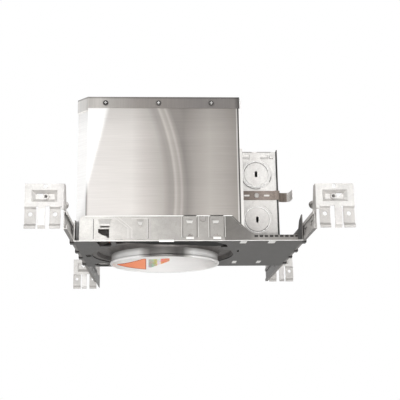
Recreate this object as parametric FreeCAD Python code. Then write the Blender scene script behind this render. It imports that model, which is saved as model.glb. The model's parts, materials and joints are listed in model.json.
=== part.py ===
import FreeCAD, Part
import math
import os

V = FreeCAD.Vector

# The origin is the centre of the lamp aperture in the ceiling plane.
# +Z is up into the ceiling, +X points to the junction box, +Y to the rear.

# Fits shared by all pieces
GAP = 0.3
RUNNING_GAP = 0.05

# Mounting frame, one folded galvanised sheet
FRAME_GAUGE = 0.9
FRAME_LEFT = -83.0
FRAME_RIGHT = 127.0
FRAME_FRONT = -77.0
FRAME_REAR = 73.0
FRAME_HOLE_R = 70.6
FRAME_HOLE_X = -2.0
FRAME_BEND = 0.8
FLANGE_HEIGHT = 23.8
FLANGE_CORNER = 4.0
FLANGE_LIP = 5.6
FLANGE_TALL_END = 61.8
FLANGE_LIP_START = 84.0
FLANGE_KNEE = (72.0, 13.9)
FLANGE_SAG = (77.2, 9.3)
FLANGE_END_GAP = 5.0
FLANGE_HEM = (1.3, 0.3)
FIN_REAR_LENGTH = 25.0
FIN_RIGHT = ((0.0, 24.5), (3.0, 24.5), (14.0, 21.5), (32.0, 4.0))
FIN_LEFT = ((0.0, 19.6), (2.0, 20.2), (34.0, 23.0), (46.0, 4.0))
SIDE_LIP = 4.0
PANEL_RISE = 0.8
PANEL_WIDTH = 14.2
PANEL_CENTRES = (22.8, 47.6)
PANEL_FOOT = (7.2, 2.3, 1.9)
PANEL_HOLE_R = 2.4
RIB_HEIGHT = 0.5
RIB_OUTLINE = ((-46.6, 22.4), (-42.2, 22.4), (-30.1, 11.9), (-30.1, 2.4), (-33.7, 2.4), (-33.7, 12.3))
SEAM_X = (-65.5, -15.8)
SEAM_SIZE = (0.6, 0.3)
LOUVRE_X = -54.8
LOUVRE_TOP = 20.8
LOUVRE_LIP = 1.8
WINDOW = ((-61.0, 11.4), (-50.9, 11.4), (-50.9, 3.1), (-52.7, 3.1), (-53.6, 5.0), (-56.4, 5.4), (-61.0, 8.2))
WINDOW_BACK = 3.0
FOOT_TAB_X = (-41.9, -22.0)
# Tongues lanced out of the front flange: middle, top, width, width at the foot, drop, rise, lip
LANCED_TABS = ((LOUVRE_X, LOUVRE_TOP, 12.8, 8.6, 5.2, 3.4, LOUVRE_LIP),
               (-22.7, 20.7, 7.0, 2.2, 6.4, 2.8),
               (22.5, 22.2, 8.2, 4.4, 6.4, 2.4),
               (46.4, 22.2, 8.2, 4.4, 6.4, 2.4))
LIP_SLOT = (3.3, 1.9, 0.45)
LIP_SLOT_PITCH = 4.7
LIP_SLOT_FIRST_X = 82.0
LIP_SLOT_COUNT = 9
LIP_SLOT_Z = 4.3
# Relief in front of the aperture, in plan, and the strip of plate that crosses it
RELIEF = ((-62.6, -76.1), (38.0, -76.1), (48.0, -70.0), (58.0, -56.0), (60.0, -44.0), (-46.0, -44.0),
          (-50.0, -50.8), (-61.0, -51.8))
RELIEF_STRIP = (-49.6, -45.0)
REAR_RELIEF = ((-74.6, 57.5), (-70.4, 48.6), (-63.4, 47.2), (-57.0, 59.0), (-60.0, 66.0), (-69.0, 66.0))
EDGE_SLOT = ((70.9, 72.6), (-27.0, -17.0))
LEFT_SLOT = ((-78.4, -73.6), (-3.7, 8.5))
FLANGE_RIVET_X = 34.7
FLANGE_RIVET_Z = 20.6

# Guides on the frame's sides that carry the hanger bars
GUIDE_LENGTH = 8.0
GUIDE_GAUGE = 0.9
GUIDE_LOWER_Y = (-64.0, -16.0, 20.0, 60.0)
GUIDE_UPPER_Y = (-64.0, 60.0)
GUIDE_LEG = 5.0

# Hanger bars: a hemmed channel with a flat strip sliding in it
BAR_GAUGE = 0.8
BAR_HEIGHT = 15.4
BAR_HEM = 3.0
BAR_LENGTH = 338.0
BAR_FRONT_Y = -131.0
RIGHT_REAR_Y = 211.0
LEFT_REAR_Y = 269.0

# Nail brackets at the bar ends
BRACKET_TOP = 40.2
BRACKET_WIDTH = 36.2
BRACKET_PLATE_Z = 20.6
BRACKET_BEND = 1.6
NECK_LENGTH = 16.0
NECK_TOP_LENGTH = 8.0
LEG_JOG = 2.0
LEG_BEND = 0.8
INNER_LEG = (5.8, 15.0)
CENTRE_LEG = (18.6, 24.8)
OUTER_LEG = (26.4, 36.2)
LEG_HOLE_R = 1.9
LEG_HOLE_Z = 13.9
TOP_HOLE_R = 1.9
TOP_HOLE_X = 19.0
POCKET_X = (8.6, 30.4)
POCKET_Z = (24.3, 34.6)
POCKET_DEPTH = 4.4
POCKET_SLOPE = 3.0
EYELET_X = 18.0
EYELET_Z = 29.4
EYELET_WALL = 0.9
EYELET_LENGTH = 2.0

# Pre-fitted nails
NAIL_R = 1.5
NAIL_LENGTH = 38.0
NAIL_HEAD_R = 3.6
NAIL_HEAD = 1.4
NAIL_TIP = 4.0
NAIL_LEAN_DEG = 20.0
NAIL_FIT = 0.15

# Housing shell and top cap, aluminium sheet
SHELL_GAUGE = 0.8
SHELL_RIGHT = 70.3
SHELL_HEIGHT = 138.4
SHELL_CHAMFER = 10.0
SHELL_SEAM = 2.6
CAP_FLANGE = 11.0
CAP_CHAMFER_FLANGE = 14.0
CAP_SCREW_MID_X = -5.7
CAP_SCREW_PITCH = 50.0
CAP_SCREW_COUNT = 3
CAP_SCREW_DROP = 6.2
CAP_SCREW_R = 1.4
CAP_SCREW_HEAD_R = 2.5
CAP_SCREW_HEAD = 1.6
CAP_SCREW_LENGTH = 5.0
SCREW_FIT = 0.05

# Aperture collar and the pan that closes the shell round it
COLLAR_R = 53.0
COLLAR_GAUGE = 0.9
COLLAR_BOTTOM = -10.0
COLLAR_TOP = 22.0
COLLAR_HEM = 2.8
PAN_SEAT = 0.6
PAN_GAUGE = 0.8
PAN_RISE = 3.4
PAN_CUT_Y = -62.5
COLLAR_RIVET_FIRST_DEG = 59.0
COLLAR_RIVET_COUNT = 3
COLLAR_RIVET_Z = 8.0
COLLAR_RIVET_R = 1.6
COLLAR_RIVET_HEAD_R = 2.6
COLLAR_RIVET_HEAD = 1.0

# Lamp holder on its sliding bracket
BRACKET_LEG_GAUGE = 1.2
ARM_Z = 112.0
ARM_REACH = 24.0
ARM_HALF_WIDTH = 18.0
ARM_LIP = 5.0
ARM_BEND = 3.0
SLIDE_HALF_WIDTH = 11.0
SLIDE_BOTTOM = 64.0
SHOULDER_DROP = 16.0
SLOT_BOTTOM = 70.0
SLOT_TOP = 104.0
STUD_Z = 86.0
STUD_Y = 0.0
STUD_R = 2.4
STUD_LENGTH = 16.0
STUD_HEAD_R = 5.0
STUD_HEAD = 1.6
NUT_HUB_R = 5.0
NUT_LENGTH = 5.0
NUT_WING_REACH = 9.5
NUT_WING_HEIGHT = 8.0
NUT_WING_GAUGE = 1.8
HOLDER_FLANGE_R = 24.0
HOLDER_FLANGE = 5.0
HOLDER_R = 18.5
HOLDER_HEIGHT = 36.0
HOLDER_BORE_R = 14.6
HOLDER_FLOOR = 8.0
THREAD_R = 13.25
THREAD_DEPTH = 0.7
THREAD_PITCH = 3.63
THREAD_TURNS = 6
THREAD_GAUGE = 0.35
CONTACT_WIDTH = 6.0
CONTACT_GAUGE = 0.5
CONTACT_PATH = ((-6.0, 0.0), (-2.0, 0.0), (3.0, 4.0), (6.5, 4.0))
CONTACT_BEND = 1.4
HOLDER_SCREW_R = 1.8
HOLDER_SCREW_HEAD_R = 3.2
HOLDER_SCREW_HEAD = 1.8
HOLDER_SCREW_OFFSET = 12.0

# Junction box with its lift-out door
BOX_GAUGE = 0.9
BOX_LEFT = 73.6
BOX_RIGHT = 106.2
BOX_FRONT = -64.0
BOX_REAR = 56.0
BOX_TOP = 88.6
BOX_RETURN = 3.0
KNOCKOUT_X = 86.6
KNOCKOUT_Z = (22.4, 66.4)
KNOCKOUT_INNER_R = 11.1
KNOCKOUT_OUTER_R = 14.3
KNOCKOUT_STEP = 0.35
KNOCKOUT_GROOVE = (0.6, 0.4)
PRY_SLOT_WIDTH = 2.4
PRY_SLOT_LENGTH = 6.0
CABLE_SLOT_X = ((74.6, 80.9), (92.1, 98.6))
CABLE_SLOT_Z = (80.9, 85.6)
BOX_TABS = (((69.3, 75.7), (-75.4, -62.5)), ((95.4, 102.4), (-75.4, -62.5)), ((71.6, 76.4), (38.5, 55.0)),
            ((97.4, 102.2), (38.5, 55.0)))
TAB_FIT = 0.2
DOOR_RISE = 1.8
DOOR_WRAP = 1.8
DOOR_BEND = 0.2
BOX_SCREW_X = 101.6
BOX_SCREW_Z = 83.4
BOX_SCREW_R = 1.4
BOX_SCREW_HEAD_R = 2.1
BOX_SCREW_HEAD = 1.3
BOX_SCREW_LENGTH = 6.0
CLAMP_TONGUE = 11.0
CLAMP_GAUGE = 0.8
CLAMP_LUG = 2.6
CLAMP_Z = (73.0, 86.2)
GROUND_SCREW_Y = -20.0
GROUND_SCREW_Z = 14.0
GROUND_SCREW_R = 2.0
GROUND_SCREW_HEAD_R = 4.2
GROUND_SCREW_HEAD = 2.6

# Spring latch strap across the junction box
STRAP_GAUGE = 0.8
STRAP_Z = (41.2, 50.0)
STRAP_JOG_X = 102.8
STRAP_DOOR_LEG = 10.0
STRAP_BENDS = (0.6, 0.6, 1.2, 4.6, 4.6)
STRAP_JOG = 2.0
STRAP_CURL_R = 5.6
STRAP_TAB_LENGTH = 15.0
STRAP_RIVET_X = 86.6
STRAP_RIVET_R = 1.6
STRAP_RIVET_HEAD_R = 2.3
STRAP_RIVET_HEAD = 1.0
STRAP_MARK = (5.2, 1.8)
STRAP_MARK_X = (77.2, 96.2)

# Small parts between the shell and the junction box
BUSHING_Y = 40.0
BUSHING_Z = 62.0
BUSHING_R = 9.0
BUSHING_BORE_R = 6.5
BUSHING_FLANGE_R = 11.0
BUSHING_FLANGE = 1.4
PROTECTOR_Y = -45.0
PROTECTOR_DROP = 12.4
PROTECTOR_SIZE = (9.0, 14.0, 30.0)
PROTECTOR_CORNER = 3.0
PROTECTOR_FOOT = (6.0, 0.8)
RIVET_R = 1.6
RIVET_HEAD_R = 2.6
RIVET_HEAD = 0.8

# Sizes that follow from the ones above
BAR_BOTTOM = FRAME_GAUGE + GAP
BAR_TOP = BAR_BOTTOM + BAR_HEIGHT
HEM_IN = GAP
STRIP_IN = HEM_IN + BAR_GAUGE + GAP
WEB_IN = STRIP_IN + BAR_GAUGE + GAP
WEB_OUT = WEB_IN + BAR_GAUGE
GUIDE_IN = WEB_OUT + GAP
GUIDE_OUT = GUIDE_IN + GUIDE_GAUGE
SHELL_LEFT = FRAME_LEFT + FRAME_GAUGE
SHELL_FRONT = FRAME_FRONT + FRAME_GAUGE
SHELL_REAR = FRAME_REAR - FRAME_GAUGE
SHELL_WALL_X = SHELL_RIGHT - SHELL_GAUGE
PAN_R = FRAME_HOLE_R + PAN_SEAT
PAN_WALL_R = FRAME_HOLE_R - abs(FRAME_HOLE_X) - 0.6
PAN_LAND = PAN_WALL_R - COLLAR_R
PAN_NECK_R = 0.4 * PAN_LAND
PAN_STEP = 0.1 * PAN_LAND
PROTECTOR_Z = SHELL_HEIGHT - PROTECTOR_DROP - PROTECTOR_SIZE[2]
FLANGE_LEFT = FRAME_LEFT + FLANGE_END_GAP
FLANGE_RIGHT = FRAME_RIGHT - FLANGE_END_GAP
SLIDE_X = SHELL_WALL_X - GAP - BRACKET_LEG_GAUGE
HOLDER_TOP = ARM_Z
HOLDER_BOTTOM = ARM_Z - HOLDER_HEIGHT
STRAP_MID_Z = (STRAP_Z[0] + STRAP_Z[1]) / 2
DOOR_IN = BOX_RIGHT + GAP
DOOR_OUT = DOOR_IN + BOX_GAUGE


def box(x, y, z):
    """Block between two limits on each axis."""
    size = (x[1] - x[0], y[1] - y[0], z[1] - z[0])
    return Part.makeBox(*size, V(x[0], y[0], z[0]))


def rod(radius, length, start, axis):
    """Round bar from a start point along an axis."""
    return Part.makeCylinder(radius, length, V(*start), V(*axis))


def prism(points, along):
    """Closed outline of 3-D points pushed along a vector."""
    outline = Part.makePolygon([V(*p) for p in points] + [V(*points[0])])
    return Part.Face(outline).extrude(V(*along))


def turned(outline):
    """Closed outline of (radius, z) points turned about the Z axis."""
    wire = Part.makePolygon([V(r, 0, z) for r, z in outline + outline[:1]])
    return Part.Face(wire).revolve(V(0, 0, 0), V(0, 0, 1), 360)


def folded_path(points, radii):
    """Open wire through points, with an arc of its own radius at each inner corner."""
    points = [V(*p) for p in points]
    edges = []
    start = points[0]
    for before, corner, after, radius in zip(points, points[1:], points[2:], radii):
        back = (before - corner).normalize()
        ahead = (after - corner).normalize()
        half = back.getAngle(ahead) / 2
        reach = radius / math.tan(half)
        bisector = (back + ahead).normalize()
        middle = corner + bisector * (radius / math.sin(half) - radius)
        enter = corner + back * reach
        leave = corner + ahead * reach
        edges.append(Part.LineSegment(start, enter).toShape())
        edges.append(Part.Arc(enter, middle, leave).toShape())
        start = leave
    edges.append(Part.LineSegment(start, points[-1]).toShape())
    return Part.Wire(edges)


def bent_sheet(points, radii, gauge, along, towards):
    """Sheet strip along a path, its thickness on the side of a point, pushed along a vector."""
    path = folded_path(points, radii)
    sections = [path.makeOffset2D(side * gauge, 0, True, True, False) for side in (1, -1)]
    aim = V(*towards)
    section = min(sections, key=lambda face: face.CenterOfMass.distanceToPoint(aim))
    return section.extrude(V(*along))


def fuse(shapes):
    """One solid from touching shapes, with seams between flat faces removed."""
    shapes = list(shapes)
    return shapes[0].multiFuse(shapes[1:]).removeSplitter()


def cut(shape, tools):
    """Shape less all the tools."""
    return shape.cut(Part.makeCompound(list(tools)))


def pan_head(radius, height, start, axis):
    """Domed screw or rivet head standing on a start point."""
    axis = V(*axis)
    head = Part.makeCylinder(radius, height, V(*start), axis)
    crown = [e for e in head.Edges if e.CenterOfMass.distanceToPoint(V(*start) + axis * height) < height / 2]
    return head.makeFillet(height * 0.6, crown)


def flange_outline(y):
    """Front flange seen from the front: tall on the left, sloping down to a low lip."""
    left = FLANGE_LEFT
    tall_end = V(FLANGE_TALL_END, y, FLANGE_HEIGHT)
    knee = V(FLANGE_KNEE[0], y, FLANGE_KNEE[1])
    sag = V(FLANGE_SAG[0], y, FLANGE_SAG[1])
    lip_start = V(FLANGE_LIP_START, y, FLANGE_LIP)
    corner_low = V(left, y, FLANGE_HEIGHT - FLANGE_CORNER)
    corner_high = V(left + FLANGE_CORNER, y, FLANGE_HEIGHT)
    bulge = FLANGE_CORNER * (1 - math.sqrt(0.5))
    corner_mid = V(left + bulge, y, FLANGE_HEIGHT - bulge)
    edges = [
        Part.LineSegment(V(left, y, 0), corner_low).toShape(),
        Part.Arc(corner_low, corner_mid, corner_high).toShape(),
        Part.LineSegment(corner_high, tall_end).toShape(),
        Part.LineSegment(tall_end, knee).toShape(),
        Part.Arc(knee, sag, lip_start).toShape(),
        Part.LineSegment(lip_start, V(FLANGE_RIGHT, y, FLANGE_LIP)).toShape(),
        Part.LineSegment(V(FLANGE_RIGHT, y, FLANGE_LIP), V(FLANGE_RIGHT, y, 0)).toShape(),
        Part.LineSegment(V(FLANGE_RIGHT, y, 0), V(left, y, 0)).toShape(),
    ]
    return Part.Face(Part.Wire(edges))


def lanced_tab(x_mid, z_top, width, low_width, drop, rise, lip=0.0):
    """Tongue cut on three sides and bent out of the front flange, with its slit."""
    face = FRAME_FRONT
    low = z_top - drop
    left = x_mid - width / 2
    slant = prism([(left, face + FRAME_GAUGE, z_top), (left, face, z_top),
                   (left, face - rise, low), (left, face - rise + FRAME_GAUGE, low)], (width, 0, 0))
    if lip:
        slant = slant.fuse(box((left, left + width), (face - rise, face - rise + FRAME_GAUGE), (low - lip, low)))
    front = face - rise - 1
    taper = prism([(left, front, z_top), (left + width, front, z_top),
                   (x_mid + low_width / 2, front, low), (x_mid + low_width / 2, front, low - lip - 0.1),
                   (x_mid - low_width / 2, front, low - lip - 0.1), (x_mid - low_width / 2, front, low)],
                  (0, rise + 3, 0))
    slit = box((x_mid - low_width / 2, x_mid + low_width / 2), (face - 0.1, face + FRAME_GAUGE + 1),
               (low - lip - 1.0, low + 0.6))
    return slant.common(taper), slit


def bar_guides(side, edge):
    """Hooks on one side of the frame that the hanger bar slides in."""
    def span(near, far):
        return tuple(sorted((edge + side * near, edge + side * far)))
    pieces = []
    for y in GUIDE_LOWER_Y:
        along = (y - GUIDE_LENGTH / 2, y + GUIDE_LENGTH / 2)
        pieces.append(box(span(-FRAME_GAUGE, GUIDE_OUT), along, (0, GUIDE_GAUGE)))
        pieces.append(box(span(GUIDE_IN, GUIDE_OUT), along, (0, GUIDE_LEG)))
    for y in GUIDE_UPPER_Y:
        along = (y - GUIDE_LENGTH / 2, y + GUIDE_LENGTH / 2)
        roof = BAR_TOP + GAP
        pieces.append(box(span(-FRAME_GAUGE, GUIDE_OUT), along, (roof, roof + GUIDE_GAUGE)))
        pieces.append(box(span(GUIDE_IN, GUIDE_OUT), along, (roof - GUIDE_LEG + 1, roof + GUIDE_GAUGE)))
    return pieces


def side_flange(side, edge):
    """Side flange: tall fins at both corners and a low lip between them."""
    inner = edge - side * FRAME_GAUGE
    fin = FIN_RIGHT if side > 0 else FIN_LEFT
    rear = FRAME_REAR
    high = FLANGE_HEIGHT
    profile = [(FRAME_FRONT, 0)] + [(FRAME_FRONT + y, z) for y, z in fin]
    profile += [(rear - FIN_REAR_LENGTH, SIDE_LIP), (rear - FIN_REAR_LENGTH * 0.7, high),
                (rear - FLANGE_CORNER, high), (rear, high - FLANGE_CORNER), (rear, 0)]
    return prism([(inner, y, z) for y, z in profile], (edge - inner, 0, 0))


def guide_panels():
    """Two raised panels on the front flange, each with a foot tab under a half-round hole."""
    solids = []
    holes = []
    foot_width, foot_height, foot_out = PANEL_FOOT
    face = FRAME_FRONT
    foot_z = (1.2, 1.2 + foot_height)
    for x in PANEL_CENTRES:
        half = PANEL_WIDTH / 2
        solids.append(prism([(x - half, face, foot_z[1]), (x - half + 1, face - PANEL_RISE, foot_z[1]),
                             (x + half - 1, face - PANEL_RISE, foot_z[1]), (x + half, face, foot_z[1])],
                            (0, 0, FLANGE_HEIGHT - foot_z[1])))
        solids.append(box((x - foot_width / 2, x + foot_width / 2), (face - foot_out, face), foot_z))
        hole = rod(PANEL_HOLE_R, 4, (x, face - 2, foot_z[1] + 0.4), (0, 1, 0))
        holes.append(hole.cut(box((x - 3, x + 3), (face - 3, face + 3), (0, foot_z[1] + 0.4))))
    return solids, holes


def flange_marks():
    """Rib, hem and seams of the front flange: what stands out of it, and what is pressed in."""
    face = FRAME_FRONT
    hem_height, hem_rise = FLANGE_HEM
    rib = prism([(x, face, z) for x, z in RIB_OUTLINE], (0, -RIB_HEIGHT, 0))
    hem = box((FLANGE_LEFT + FLANGE_CORNER, FLANGE_TALL_END), (face - hem_rise, face),
              (FLANGE_HEIGHT - hem_height, FLANGE_HEIGHT))
    run = (FLANGE_KNEE[0] - FLANGE_TALL_END, FLANGE_KNEE[1] - FLANGE_HEIGHT)
    length = math.hypot(*run)
    inward = (run[1] / length * hem_height, -run[0] / length * hem_height)
    slope = prism([(FLANGE_TALL_END, face, FLANGE_HEIGHT), (FLANGE_KNEE[0], face, FLANGE_KNEE[1]),
                   (FLANGE_KNEE[0] + inward[0], face, FLANGE_KNEE[1] + inward[1]),
                   (FLANGE_TALL_END + inward[0], face, FLANGE_HEIGHT + inward[1])], (0, -hem_rise, 0))
    width, depth = SEAM_SIZE
    pressed = [box((x, x + width), (face - 1, face + depth), (2.4, FLANGE_HEIGHT - 3)) for x in SEAM_X]
    slot_width, slot_height, slot_depth = LIP_SLOT
    for i in range(LIP_SLOT_COUNT):
        x = LIP_SLOT_FIRST_X + i * LIP_SLOT_PITCH
        pressed.append(box((x, x + slot_width), (face - 1, face + slot_depth),
                           (LIP_SLOT_Z - slot_height / 2, LIP_SLOT_Z + slot_height / 2)))
    return [rib, hem, slope], pressed


def plate_openings():
    """Everything cut through the plate: aperture, reliefs and slots."""
    through = (-1, 2)
    relief = prism([(x, y, -1) for x, y in RELIEF], (0, 0, 3))
    relief = relief.cut(box(RELIEF_STRIP, (FRAME_FRONT - 1, -FRAME_HOLE_R * 0.71), (-2, 3)))
    openings = [rod(FRAME_HOLE_R, 4, (FRAME_HOLE_X, 0, -2), (0, 0, 1)), relief,
                prism([(x, y, -1) for x, y in REAR_RELIEF], (0, 0, 3)),
                box(EDGE_SLOT[0], EDGE_SLOT[1], through), box(LEFT_SLOT[0], LEFT_SLOT[1], through)]
    openings += [box(x, y, through) for x, y in BOX_TABS]
    return openings


def mounting_frame():
    """Folded frame: plate, front and rear flanges, side fins and bar guides."""
    plate = box((FRAME_LEFT, FRAME_RIGHT), (FRAME_FRONT, FRAME_REAR), (0, FRAME_GAUGE))
    front = flange_outline(FRAME_FRONT).extrude(V(0, FRAME_GAUGE, 0))
    rear = flange_outline(FRAME_REAR).extrude(V(0, -FRAME_GAUGE, 0))
    solids = [plate, front, rear]
    for side, edge in ((1, FRAME_RIGHT), (-1, FRAME_LEFT)):
        solids.append(side_flange(side, edge))
    frame = fuse(solids)
    folds = [e for e in frame.Edges
             if e.BoundBox.XLength > 150 and e.BoundBox.ZMax < 0.01 and abs(e.BoundBox.YMax) > FRAME_REAR - 1]
    frame = frame.makeFillet(FRAME_BEND, folds)
    panels, openings = guide_panels()
    raised, pressed = flange_marks()
    extras = panels + raised
    for side, edge in ((1, FRAME_RIGHT), (-1, FRAME_LEFT)):
        extras += bar_guides(side, edge)
    foot_width, foot_height, foot_out = PANEL_FOOT
    for x in FOOT_TAB_X:
        extras.append(box((x - foot_width / 2, x + foot_width / 2), (FRAME_FRONT - foot_out / 2, FRAME_FRONT),
                          (1.6, 1.6 + foot_height / 2)))
    for tab in LANCED_TABS:
        tongue, slit = lanced_tab(*tab)
        extras.append(tongue)
        openings.append(slit)
    openings += pressed + plate_openings()
    openings.append(prism([(x, FRAME_FRONT - 1, z) for x, z in WINDOW], (0, 3, 0)))
    openings += [rod(RIVET_R + SCREW_FIT, 8, (FLANGE_RIVET_X, y, FLANGE_RIVET_Z), (0, 1, 0))
                 for y in (FRAME_FRONT - 4, FRAME_REAR - 4)]
    # Flat seat for the rivet's head where it meets the hem
    openings.append(rod(RIVET_HEAD_R + SCREW_FIT, 2, (FLANGE_RIVET_X, FRAME_FRONT, FLANGE_RIVET_Z), (0, -1, 0)))
    return cut(fuse([frame] + extras), openings)


def shell_outline(grow):
    """Plan of the shell at one height: a square with both left corners cut at 45 degrees."""
    left = SHELL_LEFT - grow
    right = SHELL_RIGHT + grow
    front = SHELL_FRONT - grow
    rear = SHELL_REAR + grow
    corner = SHELL_CHAMFER + grow * (2 - math.sqrt(2))
    return [(left + corner, front), (right, front), (right, rear),
            (left + corner, rear), (left, rear - corner), (left, front + corner)]


def shell_block(grow, bottom, top):
    """Solid block on the shell's plan, grown or shrunk on every side."""
    return prism([(x, y, bottom) for x, y in shell_outline(grow)], (0, 0, top - bottom))


def cap_screw_places():
    """Start points and outward directions of the screws that hold the top cap."""
    z = SHELL_HEIGHT + SHELL_GAUGE - CAP_SCREW_DROP
    first = CAP_SCREW_MID_X - CAP_SCREW_PITCH * (CAP_SCREW_COUNT - 1) / 2
    places = []
    for face, out in ((SHELL_FRONT - SHELL_GAUGE, -1), (SHELL_REAR + SHELL_GAUGE, 1)):
        for i in range(CAP_SCREW_COUNT):
            places.append(((first + i * CAP_SCREW_PITCH, face, z), out))
    return places


def cap_screw_holes():
    """Clearance holes for the cap screws through cap and shell."""
    return [rod(CAP_SCREW_R + SCREW_FIT, 6, (x, y + out, z), (0, -out, 0))
            for (x, y, z), out in cap_screw_places()]


def housing_shell():
    """Four-sided shell with cut corners and a standing seam at its front right edge."""
    bottom = FRAME_GAUGE
    outer = shell_block(0, bottom, SHELL_HEIGHT)
    inner = shell_block(-SHELL_GAUGE, bottom - 1, SHELL_HEIGHT + 1)
    seam = box((SHELL_RIGHT, SHELL_RIGHT + SHELL_SEAM), (SHELL_FRONT, SHELL_FRONT + SHELL_GAUGE),
               (bottom, SHELL_HEIGHT))
    shell = fuse([outer.cut(inner), seam])
    holes = cap_screw_holes()
    holes.append(rod(STUD_R + SCREW_FIT, 6, (SHELL_WALL_X - 2, STUD_Y, STUD_Z), (1, 0, 0)))
    holes.append(rod(BUSHING_R + SCREW_FIT, 6, (SHELL_WALL_X - 2, BUSHING_Y, BUSHING_Z), (1, 0, 0)))
    across = [x for x, z in WINDOW]
    upright = [z for x, z in WINDOW]
    holes.append(box((min(across) - WINDOW_BACK, max(across) + WINDOW_BACK), (SHELL_FRONT - 1, SHELL_FRONT + 2),
                     (min(upright) - 1, max(upright) + WINDOW_BACK)))
    for y, out in ((SHELL_FRONT, 1), (SHELL_REAR, -1)):
        holes.append(rod(RIVET_R + SCREW_FIT, 4, (FLANGE_RIVET_X, y - out, FLANGE_RIVET_Z), (0, out, 0)))
    return cut(shell, holes)


def housing_top_cap():
    """Lid with flanges turned down outside the shell, longer on the cut corners."""
    top = SHELL_HEIGHT + SHELL_GAUGE
    low = top - CAP_CHAMFER_FLANGE
    cap = shell_block(SHELL_GAUGE, low, top).cut(shell_block(0, low - 1, SHELL_HEIGHT))
    straight = top - CAP_FLANGE
    corner_x = shell_outline(SHELL_GAUGE)[0][0]
    corner_y = shell_outline(SHELL_GAUGE)[5][1]
    trims = [box((corner_x, SHELL_RIGHT + 3), (SHELL_FRONT - 3, SHELL_REAR + 3), (low - 1, straight)),
             box((SHELL_LEFT - 3, corner_x + 1), (corner_y, -corner_y), (low - 1, straight)),
             box((SHELL_RIGHT, SHELL_RIGHT + SHELL_SEAM), (SHELL_FRONT, SHELL_FRONT + SHELL_GAUGE + GAP),
                 (low - 1, SHELL_HEIGHT))]
    return cut(cap, trims + cap_screw_holes())


def cap_screws():
    """Sheet-metal screws through the cap's flanges."""
    screws = []
    for (x, y, z), out in cap_screw_places():
        head = pan_head(CAP_SCREW_HEAD_R, CAP_SCREW_HEAD, (x, y, z), (0, out, 0))
        shank = rod(CAP_SCREW_R, CAP_SCREW_LENGTH, (x, y, z), (0, -out, 0))
        screws.append(head.fuse(shank))
    return Part.makeCompound(screws)


def collar_rivet_angles():
    """Angles round the collar of its rivets, in radians."""
    step = 360.0 / COLLAR_RIVET_COUNT
    return [math.radians(COLLAR_RIVET_FIRST_DEG + i * step) for i in range(COLLAR_RIVET_COUNT)]


def aperture_collar():
    """Open ring with a wall above the ceiling plane and a rolled rim below it."""
    inner = COLLAR_R - COLLAR_GAUGE
    hem = COLLAR_HEM / 2
    wall = turned([(inner, COLLAR_BOTTOM + hem), (COLLAR_R, COLLAR_BOTTOM + hem),
                   (COLLAR_R, COLLAR_TOP), (inner, COLLAR_TOP)])
    rim = Part.makeTorus(COLLAR_R, hem, V(0, 0, COLLAR_BOTTOM + hem), V(0, 0, 1))
    inside = rod(inner, COLLAR_HEM + 1, (0, 0, COLLAR_BOTTOM - 0.5), (0, 0, 1))
    collar = wall.fuse(rim.cut(inside))
    holes = []
    for angle in collar_rivet_angles():
        axis = (math.cos(angle), math.sin(angle), 0)
        holes.append(rod(COLLAR_RIVET_R + SCREW_FIT, COLLAR_R + 5, (0, 0, COLLAR_RIVET_Z), axis))
    return cut(collar, holes)


def collar_pan():
    """Drawn ring on the frame's hole edge, dished up and flared down round the collar."""
    foot = FRAME_GAUGE
    deck = foot + PAN_RISE
    top = deck + PAN_GAUGE
    neck = COLLAR_R + PAN_GAUGE
    centre = V(neck + PAN_NECK_R - PAN_GAUGE, 0, top - PAN_NECK_R)
    turn = math.sqrt(0.5)
    outer, inner = PAN_NECK_R, PAN_NECK_R - PAN_GAUGE
    shoulder = PAN_WALL_R - PAN_STEP

    def arc(radius, down):
        ends = [centre + V(0, 0, radius), centre + V(-radius, 0, 0)]
        middle = centre + V(-radius * turn, 0, radius * turn)
        return ends, Part.Arc(ends[0 if down else 1], middle, ends[1 if down else 0]).toShape()
    (high, low), over = arc(outer, True)
    (under_high, under_low), under = arc(inner, False)
    corners = [V(PAN_WALL_R + PAN_STEP, 0, foot), V(PAN_WALL_R + PAN_STEP, 0, foot + PAN_GAUGE),
               V(PAN_WALL_R, 0, foot + PAN_GAUGE), V(shoulder, 0, top), high]
    back = [under_high, V(shoulder - PAN_GAUGE / 2, 0, deck), V(PAN_WALL_R - PAN_GAUGE / 2, 0, foot), corners[0]]
    edges = [Part.LineSegment(a, b).toShape() for a, b in zip(corners, corners[1:])]
    edges += [over, Part.LineSegment(low, under_low).toShape(), under]
    edges += [Part.LineSegment(a, b).toShape() for a, b in zip(back, back[1:])]
    dish = Part.Face(Part.Wire(edges)).revolve(V(0, 0, 0), V(0, 0, 1), 360)
    seat = rod(PAN_R, PAN_GAUGE, (FRAME_HOLE_X, 0, foot), (0, 0, 1))
    seat = seat.cut(rod(PAN_WALL_R + PAN_STEP / 2, 9, (0, 0, -2), (0, 0, 1)))
    front = box((-PAN_R * 2, PAN_R * 2), (-PAN_R * 2, PAN_CUT_Y), (-5, 20))
    return cut(fuse([dish, seat]), [front])


def collar_rivets():
    """Rivets flush with the collar's bore, headed on its outside."""
    rivets = []
    for angle in collar_rivet_angles():
        out = V(math.cos(angle), math.sin(angle), 0)
        seat = out * COLLAR_R + V(0, 0, COLLAR_RIVET_Z)
        head = pan_head(COLLAR_RIVET_HEAD_R, COLLAR_RIVET_HEAD, tuple(seat), tuple(out))
        shank = rod(COLLAR_RIVET_R, COLLAR_GAUGE - RUNNING_GAP, tuple(seat), tuple(-out))
        rivets.append(head.fuse(shank))
    return Part.makeCompound(rivets)


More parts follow.
